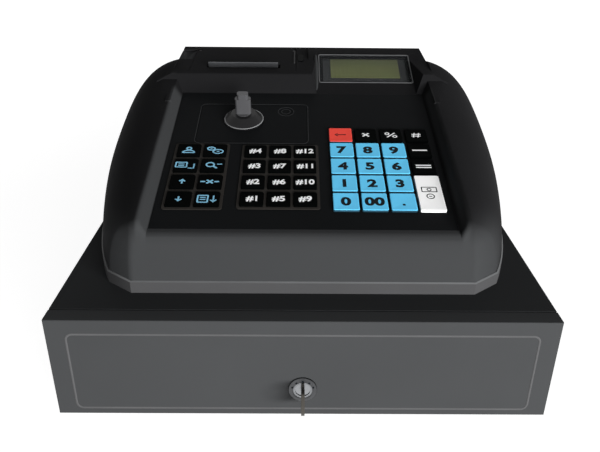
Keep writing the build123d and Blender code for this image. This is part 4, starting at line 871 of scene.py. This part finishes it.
def key_ink(name):
    """Material of the print on a key."""
    if name in FUNCTION_KEYS:
        return finish_of("pale_blue_print")
    if name in NUMBER_KEYS or name in ("clear_key", "total_key"):
        return finish_of("dark_print")
    return finish_of("white_print")


def key_face(name):
    """Middle x and y, width, height and level of a key's face on the deck."""
    spots = seen_on(DECK, vertices_of(name))
    top = spots[:, 2].max()
    face = spots[spots[:, 2] > top - FACE_DEPTH]
    low, high = face.min(axis=0), face.max(axis=0)
    return (low[0] + high[0]) / 2, (low[1] + high[1]) / 2, high[0] - low[0], high[1] - low[1], top


def key_cap(name, edge, dish):
    """A rounded rectangle carried up the key's side, over a quarter-round edge and into a dished face.

    The face lies at top - dish * (1 - s * s), where s is 1 at the rim and 0 in the middle; below,
    the same outline widens to the flange that holds the key under the panel and narrows to its stem.
    """
    x, y, width, height, top = key_face(name)
    spots = seen_on(DECK, vertices_of(name))
    flange_wide, flange_tall = spots[:, :2].max(axis=0) - spots[:, :2].min(axis=0)
    foot = spots[:, 2].min()
    _, under, lip = (np.unique(np.round(spots[:, 2] / MM, 2)) * MM)[:3]
    rows = []

    def ring(wide, tall, radius, level):
        outline = rounded_outline(wide, tall, radius)
        rows.append(np.column_stack([outline, np.full(len(outline), level)]))

    ring(KEY_STEM, KEY_STEM, STEM_CORNER, foot)
    ring(KEY_STEM, KEY_STEM, STEM_CORNER, under)
    ring(flange_wide, flange_tall, FLANGE_CORNER, under)
    ring(flange_wide, flange_tall, FLANGE_CORNER, lip)
    ring(width, height, KEY_CORNER, lip)
    for turn in np.linspace(0, math.pi / 2, 5):
        back = edge * (1 - math.cos(turn))
        level = top - edge + edge * math.sin(turn)
        ring(width - 2 * back, height - 2 * back, KEY_CORNER - back, level)
    inner_wide, inner_tall = width - 2 * edge, height - 2 * edge
    for s in (0.96, 0.85, 0.68, 0.48, 0.25):
        ring(inner_wide * s, inner_tall * s, (KEY_CORNER - edge) * s, top - dish * (1 - s * s))
    points, faces = skin(np.array(rows))
    points[-1, 2] = top - dish
    return laid(DECK, moved((points, faces), x, y, 0))


def drawn_text(text, height, weight, stretch):
    """Plain figures as a thin solid mesh lying in a plane, centred on its origin."""
    curve = bpy.data.curves.new("figures", "FONT")
    curve.body = text
    curve.size = height / FIGURE_SHARE
    curve.extrude = INK_HALF
    curve.offset = weight
    curve.resolution_u = 5
    holder = bpy.data.objects.new("figures", curve)
    bpy.context.scene.collection.objects.link(holder)
    bpy.context.view_layer.update()
    mesh = bpy.data.meshes.new_from_object(holder)
    points = np.array([v.co[:] for v in mesh.vertices])
    faces = [list(p.vertices) for p in mesh.polygons]
    bpy.data.objects.remove(holder)
    bpy.data.curves.remove(curve)
    bpy.data.meshes.remove(mesh)
    low, high = points.min(axis=0), points.max(axis=0)
    points[:, 0] = (points[:, 0] - (low[0] + high[0]) / 2) * stretch
    points[:, 1] -= (low[1] + high[1]) / 2
    return points, faces


def run(*points):
    """A straight path through points."""
    return np.array(points, dtype=float)


def symbol(name):
    """The generic symbol of a key as strokes, in millimetres round the middle of its face.

    Each stroke is a path, its width, and True where it closes.
    """
    shoulders = np.linspace(0.1, 3.04, 16)
    drawn = {
        # arrow down and arrow up
        "function_key_1": [(run((0, 2.2), (0, -1.4)), 1.0), (run((-1.6, -0.2), (0, -2.2), (1.6, -0.2)), 1.0)],
        "function_key_2": [(run((0, -2.2), (0, 1.4)), 1.0), (run((-1.6, 0.2), (0, 2.2), (1.6, 0.2)), 1.0)],
        # copy of a slip: two sheets with lines
        "function_key_3": [
            (box_path(-2.6, 0.6, 6.4, 5.4), 0.9, True),
            (run((1.6, -3.2), (5.0, -3.2), (5.0, 1.6)), 0.9),
            (run((-4.4, 1.4), (-0.8, 1.4)), 0.8),
            (run((-4.4, -0.4), (-0.8, -0.4)), 0.8),
        ],
        # cashier: head and shoulders
        "function_key_4": [
            (loop(0, 1.9, 1.4, 1.4), 1.0, True),
            (np.column_stack([3.6 * np.cos(shoulders), -3.2 + 3.0 * np.sin(shoulders)]), 1.0),
            (run((-3.8, -3.0), (3.8, -3.0)), 0.9),
        ],
        # feed: slip with an arrow down
        "function_key_5": [
            (box_path(-2.4, 0, 5.6, 6.8), 0.9, True),
            (run((-4.0, 1.4), (-0.8, 1.4)), 0.8),
            (run((-4.0, -0.6), (-0.8, -0.6)), 0.8),
            (run((3.6, 3.2), (3.6, -2.0)), 0.9),
            (run((2.0, -1.0), (3.6, -3.0), (5.2, -1.0)), 0.9),
        ],
        # cancel: a cross between two bars
        "function_key_6": [
            (run((-5.4, 0), (-2.6, 0)), 1.2),
            (run((2.6, 0), (5.4, 0)), 1.2),
            (run((-1.8, -1.8), (1.8, 1.8)), 1.2),
            (run((-1.8, 1.8), (1.8, -1.8)), 1.2),
        ],
        # look up: a lens beside a line
        "function_key_7": [
            (loop(-1.4, 0.9, 2.3, 2.3), 1.0, True),
            (run((0.4, -0.9), (2.8, -3.0)), 1.2),
            (run((2.6, 1.4), (5.6, 1.4)), 0.9),
        ],
        # two coins
        "function_key_8": [
            (loop(-2.4, 1.9, 2.2, 1.8), 1.0, True),
            (loop(2.0, -1.5, 3.0, 2.3), 1.0, True),
            (run((1.2, -1.5), (2.8, -1.5)), 1.0),
            (run((-3.0, 1.9), (-1.8, 1.9)), 0.9),
        ],
        "clear_key": [
            (run((4.4, 0), (-2.4, 0)), 0.9),
            (run((-2.0, 1.7), (-4.2, 0), (-2.0, -1.7)), 0.9),
        ],
        "times_key": [(run((-2.0, -2.0), (2.0, 2.0)), 1.1), (run((-2.0, 2.0), (2.0, -2.0)), 1.1)],
        "percent_key": [
            (run((-2.6, -2.8), (2.6, 2.8)), 0.9),
            (loop(-2.3, 1.7, 1.2, 1.2), 0.8, True),
            (loop(2.3, -1.7, 1.2, 1.2), 0.8, True),
        ],
        "code_key": [
            (run((-1.9, -2.8), (-0.9, 2.8)), 0.8),
            (run((0.9, -2.8), (1.9, 2.8)), 0.8),
            (run((-2.8, 1.1), (3.0, 1.1)), 0.8),
            (run((-3.0, -1.1), (2.8, -1.1)), 0.8),
        ],
        "minus_key": [(run((-4.6, 0), (4.6, 0)), 1.3)],
        "subtotal_key": [(run((-4.6, 1.2), (4.6, 1.2)), 1.1), (run((-4.6, -1.2), (4.6, -1.2)), 1.1)],
        # cash: a bank note with its roundel over a coin
        "total_key": [
            (box_path(0, 3.4, 10.6, 5.2), 0.7, True),
            (loop(0, 3.4, 1.4, 1.4), 0.7, True),
            (loop(0, -4.2, 2.6, 2.6), 0.7, True),
            (run((-1.1, -4.2), (1.1, -4.2)), 0.7),
        ],
        "point_key": [(loop(0.2, -3.4, 0.55, 0.55), 1.1, True)],
    }
    return joined([stroke(*each) for each in drawn[name]])


def legend(name, sizes):
    """The print of a key, laid on its dished face: each point is raised to top - dish * (1 - s * s)."""
    x, y, width, height, top = key_face(name)
    if name in NUMBER_KEYS and name != "point_key":
        points, faces = drawn_text(name.replace("number_key_", ""), sizes.big_digit, *BIG_FIGURES)
    elif name in ITEM_KEYS:
        points, faces = drawn_text("#" + name.replace("item_key_", ""), sizes.small_digit, *SMALL_FIGURES)
    else:
        points, faces = symbol(name)
        if name in FUNCTION_KEYS or name in SMALL_KEYS:
            points = points * SYMBOL_STRETCH
    s = np.maximum(abs(points[:, 0]) / (width / 2), abs(points[:, 1]) / (height / 2))
    lift = top - sizes.key_dish * (1 - s * s) + INK_LIFT
    return onto(DECK, points + np.column_stack([np.full(len(s), x), np.full(len(s), y), lift])), faces


# ---------------------------------------------------------------- operators
class REGISTER_OT_drawer_case(bpy.types.Operator):
    """Powder-coated case of the drawer, with its folded edges, the rail screws in its sides and its feet."""

    bl_idname = "register_build.drawer_case"
    bl_label = "Drawer case"

    def execute(self, context):
        edge = context.scene.register_sizes.sheet_edge
        # The case takes the darker copy of the front's powder coat, as painted shade.
        case = dressed("drawer_case", finish_of("powder_coat_painted_shade"), bevel=edge)
        dressed("rubber_feet", finish_of("nitrile_rubber"))
        body = body_of(case)[0]
        add_screws("right_rail", RIGHT_SIDE, RAIL_SCREWS, body)
        add_screws("left_rail", LEFT_SIDE, RAIL_SCREWS, body)
        return {"FINISHED"}


class REGISTER_OT_drawer_front(bpy.types.Operator):
    """Powder-coated front of the drawer with the bead that fills its groove, painted pale as its highlight.
    """

    bl_idname = "register_build.drawer_front"
    bl_label = "Drawer front"

    def execute(self, context):
        front = dressed("drawer_front", finish_of("powder_coated_steel"))
        middle = (OUTLINE_LOW + OUTLINE_HIGH) / 2
        height = OUTLINE_HIGH - OUTLINE_LOW
        part = bead(0, middle, 2 * OUTLINE_HALF, height, OUTLINE_CORNER, half=0.75, rise=0.3, steps=10)
        body = body_of(front)[0]
        line = laid(DRAWER_FACE, part)
        make_piece("front_outline", line, finish_of("front_bead_highlight"), body, smooth=RIB_SMOOTH)
        return {"FINISHED"}


class REGISTER_OT_drawer_lock(bpy.types.Operator):
    """Chromed lock of the drawer with the marks on its ring, and the key that stands in it."""

    bl_idname = "register_build.drawer_lock"
    bl_label = "Drawer lock and key"

    plug_radius = 7.2
    ring_radius, ring_level = 7.4, 1.8
    # The marks round the upper half of the ring: their angles in degrees, ends and level.
    mark_angles = (20, 55, 90, 125, 160)
    mark_from, mark_to, mark_level = 6.9, 8.0, 2.14

    def execute(self, context):
        low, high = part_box("drawer_lock")
        middle = (low[2] + high[2]) / 2
        satin, polished = finish_of("satin_chrome"), finish_of("polished_chrome")
        lock = dressed("drawer_lock", [satin, polished])
        paint_faces(lock, 1, lambda m, n: np.hypot(m[:, 0], m[:, 2] - middle) < self.plug_radius * MM)
        body = body_of(lock)[0]
        rib = ring_bead(0, 0, self.ring_radius, half=1.0, rise=0.3)
        ring = laid(DRAWER_FACE, moved(rib, 0, middle, self.ring_level * MM))
        make_piece("lock_face_ring", ring, satin, body, smooth=RIB_SMOOTH)
        marks = []
        for angle in np.radians(self.mark_angles):
            ray = np.array([math.cos(angle), math.sin(angle)])
            marks.append(stroke([ray * self.mark_from, ray * self.mark_to], width=1.3))
        part = moved(joined(marks), 0, middle, self.mark_level * MM)
        make_piece("lock_marks", laid(DRAWER_FACE, part), finish_of("dark_print"), body)
        key = dressed("drawer_key", [finish_of("nickel_plated_brass"), polished])
        # The face of the plug that the key stands in.
        paint_faces(key, 1, lambda m, n: (m[:, 1] > -170.6 * MM) & (m[:, 1] < -169.0 * MM))
        return {"FINISHED"}


class REGISTER_OT_till(bpy.types.Operator):
    """Sliding tray, till insert, note clips and the release solenoid."""

    bl_idname = "register_build.till"
    bl_label = "Till"

    def execute(self, context):
        zinc = finish_of("zinc_plated_steel")
        dressed("drawer_tray", zinc)
        dressed("till_insert", finish_of("black_polystyrene"))
        dressed("note_clips", zinc)
        dressed("release_solenoid", zinc)
        return {"FINISHED"}


class REGISTER_OT_housing(bpy.types.Operator):
    """Moulded top housing, the base pan under it and the screws at the rear."""

    bl_idname = "register_build.housing"
    bl_label = "Housing"

    def execute(self, context):
        eroded = finish_of("spark_eroded_abs")
        housing = dressed("top_housing", eroded)
        finishes = [eroded, finish_of("pale_band_and_highlight_abs"), finish_of("band_edge_highlight_abs")]
        pan = dressed("base_pan", finishes)
        # The low band of the pan, all but its rear, in a paler grey, and then the sloping edge over it,
        # painted pale as its highlight.
        paint_faces(pan, 1, lambda m, n: (m[:, 2] > 80.4 * MM) & (n[:, 1] < 0.4))
        paint_faces(pan, 2, lambda m, n: (m[:, 2] > 83 * MM) & (n[:, 1] < 0.2) & (abs(n[:, 2] - 0.6) < 0.3))
        add_screws("rear", REAR, REAR_SCREWS, body_of(housing)[0])
        return {"FINISHED"}


class REGISTER_OT_key_panel(bpy.types.Operator):
    """Dark overlay of the key panel with its grey ribs, its outline and its seal rings."""

    bl_idname = "register_build.key_panel"
    bl_label = "Key panel"

    def execute(self, context):
        finishes = [finish_of("matt_polycarbonate_film"), finish_of("grey_printed_rib")]
        panel = dressed("key_panel", finishes)
        rib_top = seen_on(DECK, vertices_of("key_panel"))[:, 2].max()
        face = rib_top - 0.7 * MM
        paint_faces(panel, 1, lambda m, n: seen_on(DECK, m)[:, 2] > face + 0.1 * MM)
        width = context.scene.register_sizes.line / MM
        lines = [
            stroke(box_path(*COVER_LINE), width, closed=True),
            stroke(loop(*SEAL, SEAL_RING, SEAL_RING, steps=48), width, closed=True),
            stroke(loop(*SEAL, SEAL_CORE, SEAL_CORE, steps=36), width, closed=True),
        ]
        part = laid(DECK, moved(joined(lines), 0, 0, face + INK_HALF))
        body = body_of(panel)[0]
        make_piece("panel_lines", part, finish_of("grey_line_print"), body)
        return {"FINISHED"}


class REGISTER_OT_keys(bpy.types.Operator):
    """Every key cap, each on its own travel."""

    bl_idname = "register_build.keys"
    bl_label = "Key caps"

    def execute(self, context):
        sizes = context.scene.register_sizes
        outward = DECK[1][2]
        for name in ALL_KEYS:
            material, slot = key_finish(name)
            part = key_cap(name, sizes.key_edge, sizes.key_dish)
            side_shaded = slot in ("blue_key", "red_key")
            finishes = [material, finish_of("key_side_painted_shade")] if side_shaded else material
            cap = make_piece(name + "_cap", part, finishes, name, (name,), smooth=35.0)
            # The sides of the blue and red caps take painted shade.
            if side_shaded:
                paint_faces(cap, 1, lambda m, n: n @ outward < 0.5)
        return {"FINISHED"}


class REGISTER_OT_key_legends(bpy.types.Operator):
    """Printed numbers and generic symbols on the keys."""

    bl_idname = "register_build.key_legends"
    bl_label = "Key legends"

    def execute(self, context):
        sizes = context.scene.register_sizes
        for name in ALL_KEYS:
            make_piece(name + "_print", legend(name, sizes), key_ink(name), name)
        return {"FINISHED"}


class REGISTER_OT_mode_lock(bpy.types.Operator):
    """Domed mode lock with the bead round it, painted pale as its highlight, and its grey key."""

    bl_idname = "register_build.mode_lock"
    bl_label = "Mode lock"

    ring_radius, ring_level = 15.5, 1.45

    def execute(self, context):
        lock = dressed("mode_lock", finish_of("black_dome_nylon"))
        body = body_of(lock)[0]
        # The bead round the lock, painted pale as the highlight on its rim.
        rib = ring_bead(*MODE_LOCK, self.ring_radius, half=0.55, rise=0.5)
        ring = laid(DECK, moved(rib, 0, 0, self.ring_level * MM))
        paint = finish_of("lock_ring_highlight")
        make_piece("mode_lock_ring", ring, paint, body, smooth=RIB_SMOOTH)
        dressed("mode_key", finish_of("grey_acetal"))
        return {"FINISHED"}


class REGISTER_OT_displays(bpy.types.Operator):
    """Operator's and customer's display: window, bead, bezel and glass, and the edge of the hood with its
    painted highlight.
    """

    bl_idname = "register_build.displays"
    bl_label = "Displays"

    def execute(self, context):
        windows = dressed("display_windows", finish_of("smoked_acrylic"))
        dressed("lcd_modules", finish_of("painted_bezel"))
        body = body_of(windows)[0]
        half = context.scene.register_sizes.bead / MM / 2
        # A rounded rib on the hood's left edge, painted paler as its highlight.
        edge = laid(DISPLAY, tapered_rib(x=12.3, start=5, end=61, half=2.0, rise=1.8))
        make_piece("hood_edge", edge, finish_of("hood_highlight_abs"), body, smooth=RIB_SMOOTH)
        for name, where, (x, y, high), (glass_x, glass_y, wide, tall) in SCREENS:
            part = slab(glass_x, glass_y, wide, tall, radius=0.6, low=-3.1, high=-2.5)
            glass = make_piece(name + "_glass", laid(where, part), green_lcd_glass(), body)
            lay_map(glass, where, glass_x, glass_y, wide, tall)
            rib = laid(where, bead(x, y, WINDOW_WIDTH, high, radius=1.6, half=half, rise=0.35))
            paint = finish_of("grey_bead_print")
            make_piece(name + "_window_bead", rib, paint, body, smooth=RIB_SMOOTH)
        return {"FINISHED"}


class REGISTER_OT_printer(bpy.types.Operator):
    """Printer cover with its strip and catch, mechanism with its tear bar, platen and paper roll."""

    bl_idname = "register_build.printer"
    bl_label = "Printer"

    def execute(self, context):
        cover = dressed("printer_cover", finish_of("spark_eroded_abs"))
        # A low strip along the cover's edge, painted pale as the highlight of its step.
        part = slab(-7.4, 47, width=1.2, height=36, radius=0.5, low=-0.1, high=0.45)
        strip = laid(PRINTER_DECK, part)
        make_piece("cover_strip", strip, finish_of("pale_band_and_highlight_abs"), body_of(cover)[0])
        part = slab(-1.6, 44, width=5.0, height=20, radius=2.0, low=-0.1, high=0.6)
        catch = laid(PRINTER_DECK, part)
        body = body_of(frame["nodes"]["top_housing"])[0]
        film = finish_of("black_key_film")
        make_piece("cover_catch", catch, film, body, bevel=0.2 * MM)
        stainless = finish_of("rolled_stainless")
        finishes = [finish_of("grey_mechanism_abs"), stainless]
        printer = dressed("printer_mechanism", finishes)
        paint_faces(printer, 1, self.on_tear_bar)
        blade = tear_teeth(length=61.6, pitch=1.6, y=TEAR_BAR_Y, low=3.7, high=4.2)
        teeth = laid(PRINTER_DECK, moved(blade, TEAR_BAR_X * MM, 0, 0))
        make_piece("tear_teeth", teeth, stainless, body_of(printer)[0])
        dressed("platen_roller", finish_of("nitrile_rubber"))
        dressed("paper_roll", finish_of("thermal_paper"))
        return {"FINISHED"}

    @staticmethod
    def on_tear_bar(middles, _):
        """The faces of the upright bar in the cover's slot."""
        seen = seen_on(PRINTER_DECK, middles) / MM
        return (seen[:, 2] > -3.9) & (abs(seen[:, 1] - TEAR_BAR_Y) < 0.8)


class REGISTER_OT_boards(bpy.types.Operator):
    """Circuit boards inside the housing, and the jacks that show at its rear."""

    bl_idname = "register_build.boards"
    bl_label = "Circuit boards"

    def execute(self, context):
        epoxy, zinc = finish_of("epoxy_package"), finish_of("zinc_plated_steel")
        boards = dressed("circuit_boards", [finish_of("solder_mask_board"), epoxy, zinc])
        paint_faces(boards, 1, self.on_chips)
        paint_faces(boards, 2, self.on_power_unit)
        back = vertices_of("circuit_boards")[:, 1].max()
        face = (np.array((0, back, 0)), np.array([[-1, 0, 0], [0, 0, 1], [0, 1, 0]]))
        shells = joined([slab(-x, 97.2, 14.8, 11.8, radius=0.8, low=-0.1, high=0.2) for x in JACKS])
        hollows = joined([slab(-x, 97.6, 11.6, 8.4, radius=0.4, low=0.1, high=0.3) for x in JACKS])
        offsets = (np.arange(CONTACTS_PER_JACK) - (CONTACTS_PER_JACK - 1) / 2) * CONTACT_PITCH
        places = [step - x for x in JACKS for step in offsets]
        contacts = joined([slab(x, 100.0, 0.5, 2.8, radius=0.1, low=0.2, high=0.4) for x in places])
        body = body_of(boards)[0]
        make_piece("jack_shells", laid(face, shells), zinc, body)
        make_piece("jack_hollows", laid(face, hollows), epoxy, body)
        make_piece("jack_contacts", laid(face, contacts), finish_of("nickel_plated_brass"), body)
        return {"FINISHED"}

    @staticmethod
    def on_chips(middles, _):
        """The faces of the chips on the main board, by their place in millimetres."""
        x, y, z = middles.T / MM
        return (z > 90.8) & (z < 104) & (x > 5) & (y > 40)

    @staticmethod
    def on_power_unit(middles, _):
        """The faces of the power unit."""
        x, y, z = middles.T / MM
        return (x < -18) & (y > 30) & (z < 130)


# ---------------------------------------------------------------- stage
# Soft boxes in metres: width, height, place, and the point they look at.
FRONT_BOX = (2.2, 0.5, (1.30, -2.4, 0.42), (0, 0, 0.09))
REAR_BOX = (2.0, 0.6, (-0.7, 2.6, 0.4), (0, 0, 0.1))
# The floor: half its side, its level just under the feet, and how strongly it shows itself from
# GLOW_FROM metres out to GLOW_TO, where it is as white as the room.
FLOOR_REACH, FLOOR_LEVEL = 6.0, -0.0002
GLOW_FROM, GLOW_TO, GLOW_NEAR = 0.4, 1.6, 0.89
# The camera: its place in metres, how far it is tipped down, turned and rolled in degrees, and its
# focal length in millimetres.
CAMERA_PLACE = (-0.00528, -0.51024, 0.31512)
CAMERA_TIP, CAMERA_TURN, CAMERA_ROLL = 26.11, -0.418, -0.532
CAMERA_LENS, CAMERA_SENSOR = 38.986, 36.0


def white_to_the_eye(tree, shown, lit):
    """Mixes shown for camera, glossy and transmission rays with lit for all other rays."""
    path = add_node(tree, "ShaderNodeLightPath")
    either = add_node(
        tree,
        "ShaderNodeMath",
        {"operation": "MAXIMUM"},
        {0: path.outputs["Is Camera Ray"], 1: path.outputs["Is Glossy Ray"]},
    )
    seen = add_node(
        tree,
        "ShaderNodeMath",
        {"operation": "MAXIMUM"},
        {0: either.outputs[0], 1: path.outputs["Is Transmission Ray"]},
    )
    return add_node(tree, "ShaderNodeMixShader", None, {0: seen.outputs[0], 1: lit, 2: shown})


def matrix_of(right, up, back, place):
    """The matrix of an object from its own three axes and its place."""
    turn = Matrix.Identity(4)
    for column, axis in enumerate((right, up, back, place)):
        for line in range(3):
            turn[line][column] = float(axis[line])
    return turn


def soft_box(name, power, width, height, place, aim):
    """A rectangular lamp at place whose face looks at aim, left out of mirror images."""
    lamp = bpy.data.lights.new(name, "AREA")
    lamp.shape = "RECTANGLE"
    lamp.size = width
    lamp.size_y = height
    lamp.energy = power
    made = bpy.data.objects.new(name, lamp)
    away = np.array(place) - np.array(aim)
    back = away / np.linalg.norm(away)
    right = np.cross((0.0, 0.0, 1.0), back)
    right /= np.linalg.norm(right)
    made.matrix_world = matrix_of(right, np.cross(back, right), back, place)
    made.visible_glossy = False
    bpy.context.scene.collection.objects.link(made)


class REGISTER_OT_stage(bpy.types.Operator):
    """Pale floor, soft lamps, room and camera."""

    bl_idname = "register_build.stage"
    bl_label = "Stage"

    def execute(self, context):
        scene = context.scene
        light = scene.register_light
        scene.view_settings.view_transform = "Standard"
        self.make_floor()
        self.make_room(scene, light.room)
        soft_box("front_soft_box", light.front, *FRONT_BOX)
        soft_box("rear_soft_box", light.rear, *REAR_BOX)
        self.make_camera(scene)
        return {"FINISHED"}

    def make_floor(self):
        """A flat square sheet, pale to the eye so that only the soft shadow shows on it."""
        side = np.linspace(-FLOOR_REACH, FLOOR_REACH, 3)
        x, y = np.meshgrid(side, side)
        rows = np.stack([x, y, np.full_like(x, FLOOR_LEVEL)], axis=-1)
        points, faces = skin(rows, closed=False, ends=False)
        mesh = bpy.data.meshes.new("floor")
        mesh.from_pydata(points.tolist(), [], faces)
        mesh.materials.append(self.seamless_paper())
        floor = bpy.data.objects.new("floor", mesh)
        bpy.context.scene.collection.objects.link(floor)

    def seamless_paper(self):
        # Pale seamless backdrop paper: no grain to see. It glows a little to the eye, so that it
        # stays white while it keeps the shadow.
        material = bpy.data.materials.new("seamless_paper")
        tree = bare_tree(material)
        paper = add_node(tree, "ShaderNodeBsdfDiffuse", None, {"Color": (0.4, 0.4, 0.4, 1.0)})
        place = add_node(tree, "ShaderNodeTexCoord").outputs["Object"]
        reach = add_node(tree, "ShaderNodeVectorMath", {"operation": "LENGTH"}, {0: place})
        level = add_node(
            tree,
            "ShaderNodeMapRange",
            None,
            {
                "Value": reach.outputs["Value"],
                "From Min": GLOW_FROM,
                "From Max": GLOW_TO,
                "To Min": GLOW_NEAR,
                "To Max": 1.0,
            },
        )
        strength = level.outputs["Result"]
        glow = add_node(tree, "ShaderNodeEmission", None, {"Color": (1, 1, 1, 1), "Strength": strength})
        both = add_node(tree, "ShaderNodeAddShader", None, {0: paper.outputs[0], 1: glow.outputs[0]})
        shown = white_to_the_eye(tree, both.outputs[0], paper.outputs[0])
        add_node(tree, "ShaderNodeOutputMaterial", None, {"Surface": shown.outputs[0]})
        return material

    def make_room(self, scene, strength):
        """A white room to the eye that lights the object only weakly."""
        world = bpy.data.worlds.new("studio_room")
        tree = bare_tree(world)
        white = (1, 1, 1, 1)
        eye = add_node(tree, "ShaderNodeBackground", None, {"Color": white, "Strength": 1.0})
        fill = add_node(tree, "ShaderNodeBackground", None, {"Color": white, "Strength": strength})
        mixed = white_to_the_eye(tree, eye.outputs[0], fill.outputs[0])
        add_node(tree, "ShaderNodeOutputWorld", None, {"Surface": mixed.outputs[0]})
        scene.world = world

    def make_camera(self, scene):
        """Camera in front of the operator's side, tipped down, turned and rolled by small angles."""
        tip, turn, roll = np.radians((CAMERA_TIP, CAMERA_TURN, CAMERA_ROLL))
        heading = np.array(
            [[math.cos(turn), -math.sin(turn), 0], [math.sin(turn), math.cos(turn), 0], [0, 0, 1]]
        )
        ahead = heading @ np.array([0, math.cos(tip), -math.sin(tip)])
        right = heading @ np.array([1.0, 0, 0])
        down = heading @ np.array([0, -math.sin(tip), -math.cos(tip)])
        across = math.cos(roll) * right + math.sin(roll) * down
        below = -math.sin(roll) * right + math.cos(roll) * down
        lens = bpy.data.cameras.new("front_camera")
        lens.lens = CAMERA_LENS
        lens.sensor_width = CAMERA_SENSOR
        lens.clip_start = 0.01
        camera = bpy.data.objects.new("front_camera", lens)
        camera.matrix_world = matrix_of(across, -below, -ahead, CAMERA_PLACE)
        scene.collection.objects.link(camera)
        scene.camera = camera


STEPS = (
    REGISTER_OT_drawer_case,
    REGISTER_OT_drawer_front,
    REGISTER_OT_drawer_lock,
    REGISTER_OT_till,
    REGISTER_OT_housing,
    REGISTER_OT_key_panel,
    REGISTER_OT_keys,
    REGISTER_OT_key_legends,
    REGISTER_OT_mode_lock,
    REGISTER_OT_displays,
    REGISTER_OT_printer,
    REGISTER_OT_boards,
    REGISTER_OT_stage,
)


class REGISTER_PT_panel(bpy.types.Panel):
    """Lists the steps that dress the register."""

    bl_label = "Ticket register"
    bl_idname = "REGISTER_PT_panel"
    bl_space_type = "VIEW_3D"
    bl_region_type = "UI"
    bl_category = "Register"

    def draw(self, context):
        layout = self.layout
        for step in STEPS:
            layout.operator(step.bl_idname)
        scene = context.scene
        for group in (scene.register_sizes, scene.register_colours, scene.register_light):
            for name in group.__annotations__:
                layout.prop(group, name)


CLASSES = (RegisterSizes, RegisterColours, RegisterLight, *STEPS, REGISTER_PT_panel)


def register():
    for each in CLASSES:
        bpy.utils.register_class(each)
    bpy.types.Scene.register_sizes = PointerProperty(type=RegisterSizes)
    bpy.types.Scene.register_colours = PointerProperty(type=RegisterColours)
    bpy.types.Scene.register_light = PointerProperty(type=RegisterLight)


def unregister():
    del bpy.types.Scene.register_light
    del bpy.types.Scene.register_colours
    del bpy.types.Scene.register_sizes
    for each in reversed(CLASSES):
        bpy.utils.unregister_class(each)


def main():
    """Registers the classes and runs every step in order."""
    register()
    for step in STEPS:
        group, name = step.bl_idname.split(".")
        result = getattr(getattr(bpy.ops, group), name)()
        if result != {"FINISHED"}:
            raise RuntimeError(step.bl_label + " wasn't finished")
    bpy.context.view_layer.update()


if __name__ == "__main__":
    main()
